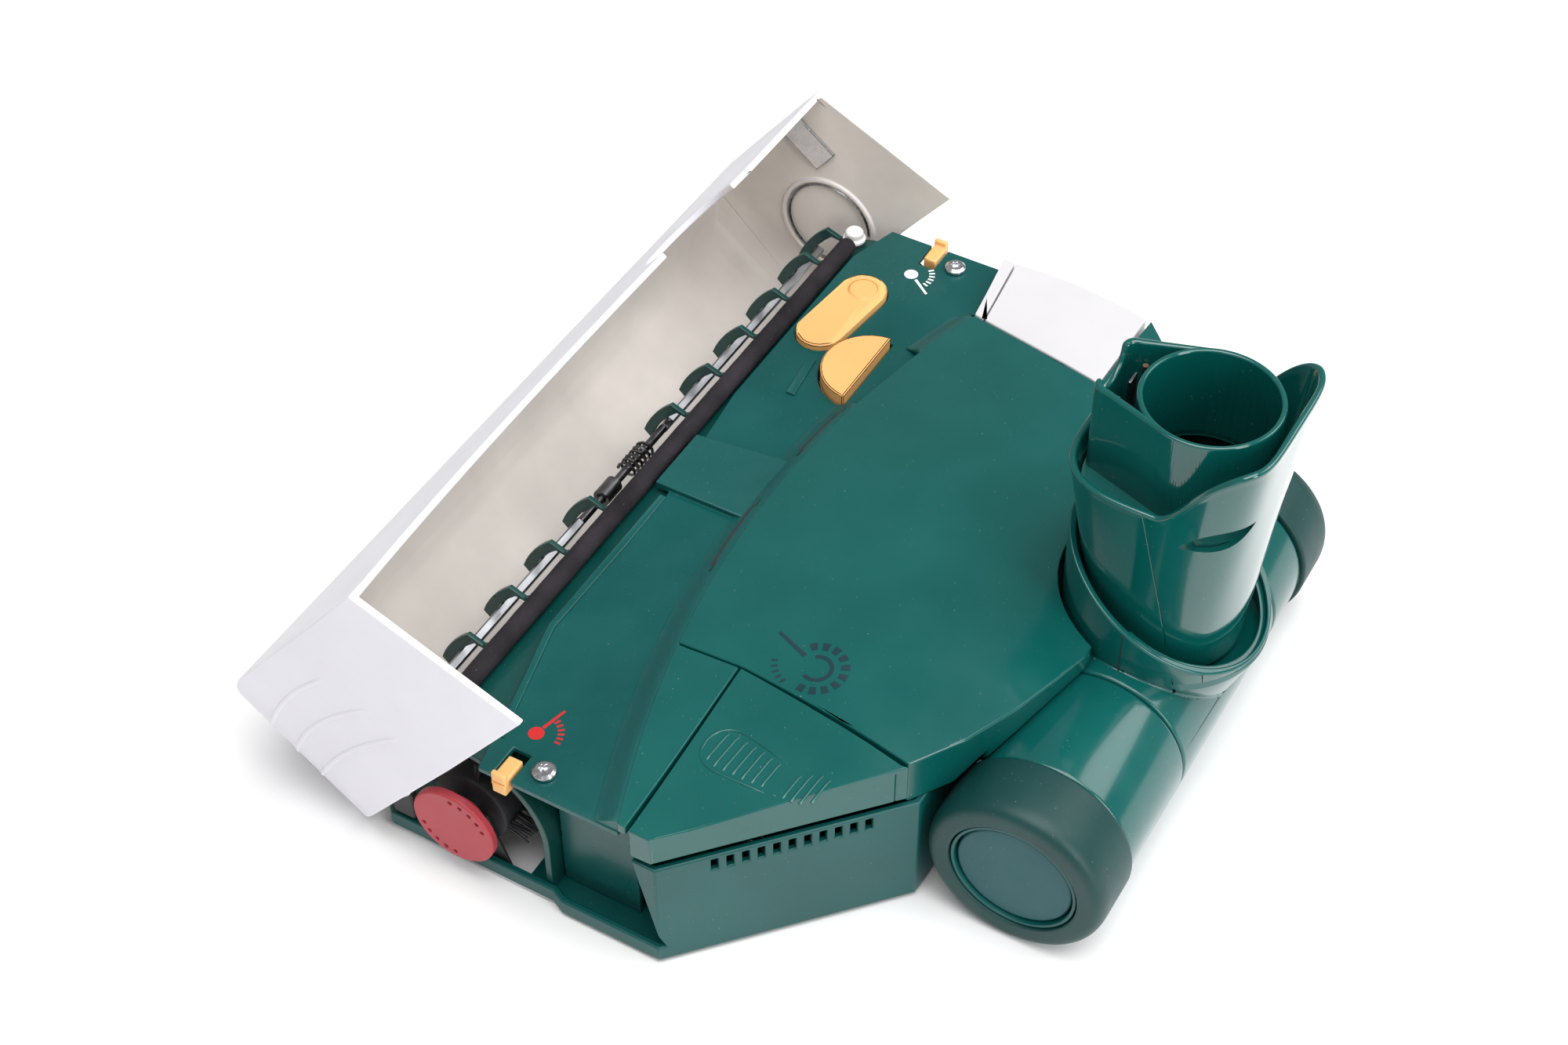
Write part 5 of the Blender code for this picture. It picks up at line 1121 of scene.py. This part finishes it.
def dot(centre, radius, height):
    """A disc, as a slab between its left and right halves."""
    angle = np.linspace(0.02, np.pi - 0.02, 24)
    right_half = np.stack([centre[0] + radius * np.sin(angle), centre[1] + radius * np.cos(angle)], -1)
    left_half = np.stack([centre[0] - radius * np.sin(angle), centre[1] + radius * np.cos(angle)], -1)
    return stroke(left_half, right_half, height)


def ring_stroke(centre, inner, outer, start, end, height):
    """Part of a ring between two directions in degrees."""
    return stroke(arc(centre, inner, start, end, 40), arc(centre, outer, start, end, 40), height)


def ticks(centre, near, far, angles, wide, narrow, height):
    """Short bars that radiate from a centre."""
    made = []
    for angle in np.radians(angles):
        way = np.array([math.cos(angle), math.sin(angle)])
        made.append(bar(np.array(centre) + near * way, np.array(centre) + far * way, wide, narrow, height))
    return made


def deck_height(x, y):
    """The deck is flat."""
    return DECK_TOP + 0 * x


def printed(name, parts, material, node):
    """One printed sign on a part."""
    made = from_parts(name, parts, material, 30.0)
    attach(made, body_of[node])


dark_ink = plastic("dark_ink", (0.0060, 0.0330, 0.0420), (0.35, 0.50), 0.1, 1200.0, 0.10)
red_ink = plastic("red_ink", (0.5200, 0.0180, 0.0180), (0.35, 0.50), 0.1, 1200.0, 0.10)
white_ink = plastic("white_ink", (0.8000, 0.8200, 0.8000), (0.35, 0.50), 0.1, 1200.0, 0.03)
sign = np.array((-0.0690, -0.0420))
printed("sign_on_cover", [ring_stroke(sign, 0.0042, 0.0056, 150, 395, crown_height),
                          bar(sign + (0.0030, 0.0062), sign + (0.0085, 0.0190), 0.0016, 0.0012, crown_height),
                          *ticks(sign, 0.0078, 0.0108, np.linspace(175, 395, 10), 0.0020, 0.0026,
                                 crown_height),
                          *ticks(sign + (0.001, 0.004), 0.0100, 0.0122, np.linspace(110, 160, 5), 0.0010,
                                 0.0006, crown_height)],
        dark_ink, "top_cover")
left_sign = (-0.1310, 0.0275)
printed("sign_on_deck_left", [dot(left_sign, 0.0027, deck_height),
                              bar((-0.1280, 0.0268), (-0.1185, 0.0245), 0.0012, 0.0009, deck_height),
                              *ticks(left_sign, 0.0070, 0.0092, np.linspace(270, 335, 6), 0.0008, 0.0008,
                                     deck_height)],
        red_ink, "upper_deck")
right_sign = (0.1325, 0.0295)
printed("sign_on_deck_right", [dot(right_sign, 0.0027, deck_height),
                               bar((0.1305, 0.0265), (0.1250, 0.0190), 0.0012, 0.0009, deck_height),
                               *ticks(right_sign, 0.0070, 0.0092, np.linspace(250, 315, 6), 0.0008, 0.0008,
                                      deck_height)],
        white_ink, "upper_deck")
print("signs done")

# %% [markdown]
# The left foot switch carries the raised outline of the front of a shoe sole with ribs across it, and
# four more ribs for the heel. The ribs are low beads of the same plastic.

# %% Shoe sole on the left foot switch
def on_crown(path):
    """Plan points put on the crown."""
    return np.concatenate([path, crown_height(path[:, 0], path[:, 1])[:, None]], 1)


def crown_bead(path):
    """A bead 1.1 mm wide and 0.35 mm high along a plan path on the crown."""
    line = on_crown(path)
    upward = np.array([0.0, 0.0, 1.0])
    side = np.cross(unit(np.gradient(line, axis=0)), upward)
    return bead(line, upward, side, 0.0011, 0.00035)


def sole_half_width(t):
    """Half the sole's width along the toe part, from toe (0) to waist (1): a blunt toe, then a slow taper."""
    return 0.0088 * np.clip(1 - (1 - np.minimum(t / 0.35, 1.0)) ** 2.4, 0.0,
                            None) ** 0.5 * (1 - 0.28 * t ** 2)


def shoe():
    """The toe outline with seven ribs, then the heel's front edge with four ribs."""
    heading = np.array((-0.10, -1.0))
    heading /= np.linalg.norm(heading)
    across = np.array((heading[1], -heading[0]))
    toe = np.array((-0.1100, -0.0245))
    length = 0.0275
    t = np.linspace(0, 1, 60)
    half = sole_half_width(t)
    left = toe + heading * (t * length)[:, None] + across * half[:, None]
    right_side = toe + heading * (t * length)[:, None] - across * half[:, None]
    parts = [crown_bead(np.concatenate([left[::-1], right_side[1:]]))]
    for station in np.linspace(0.16, 0.92, 7):
        middle = toe + heading * station * length
        reach = (float(sole_half_width(np.array(station))) - 0.0014) * across
        parts.append(crown_bead(np.linspace(middle - reach, middle + reach, 14)))
    heel = toe + heading * 0.0335
    for k, wide in enumerate((0.0052, 0.0060, 0.0064, 0.0052)):
        middle = heel + heading * 0.0030 * k + (0.0012 * k, 0.0)
        parts.append(crown_bead(np.linspace(middle - wide * across, middle + wide * across, 14)))
    return parts


printed("shoe_sole", shoe(), gloss_green, "left_pedal")
print("shoe sole done")
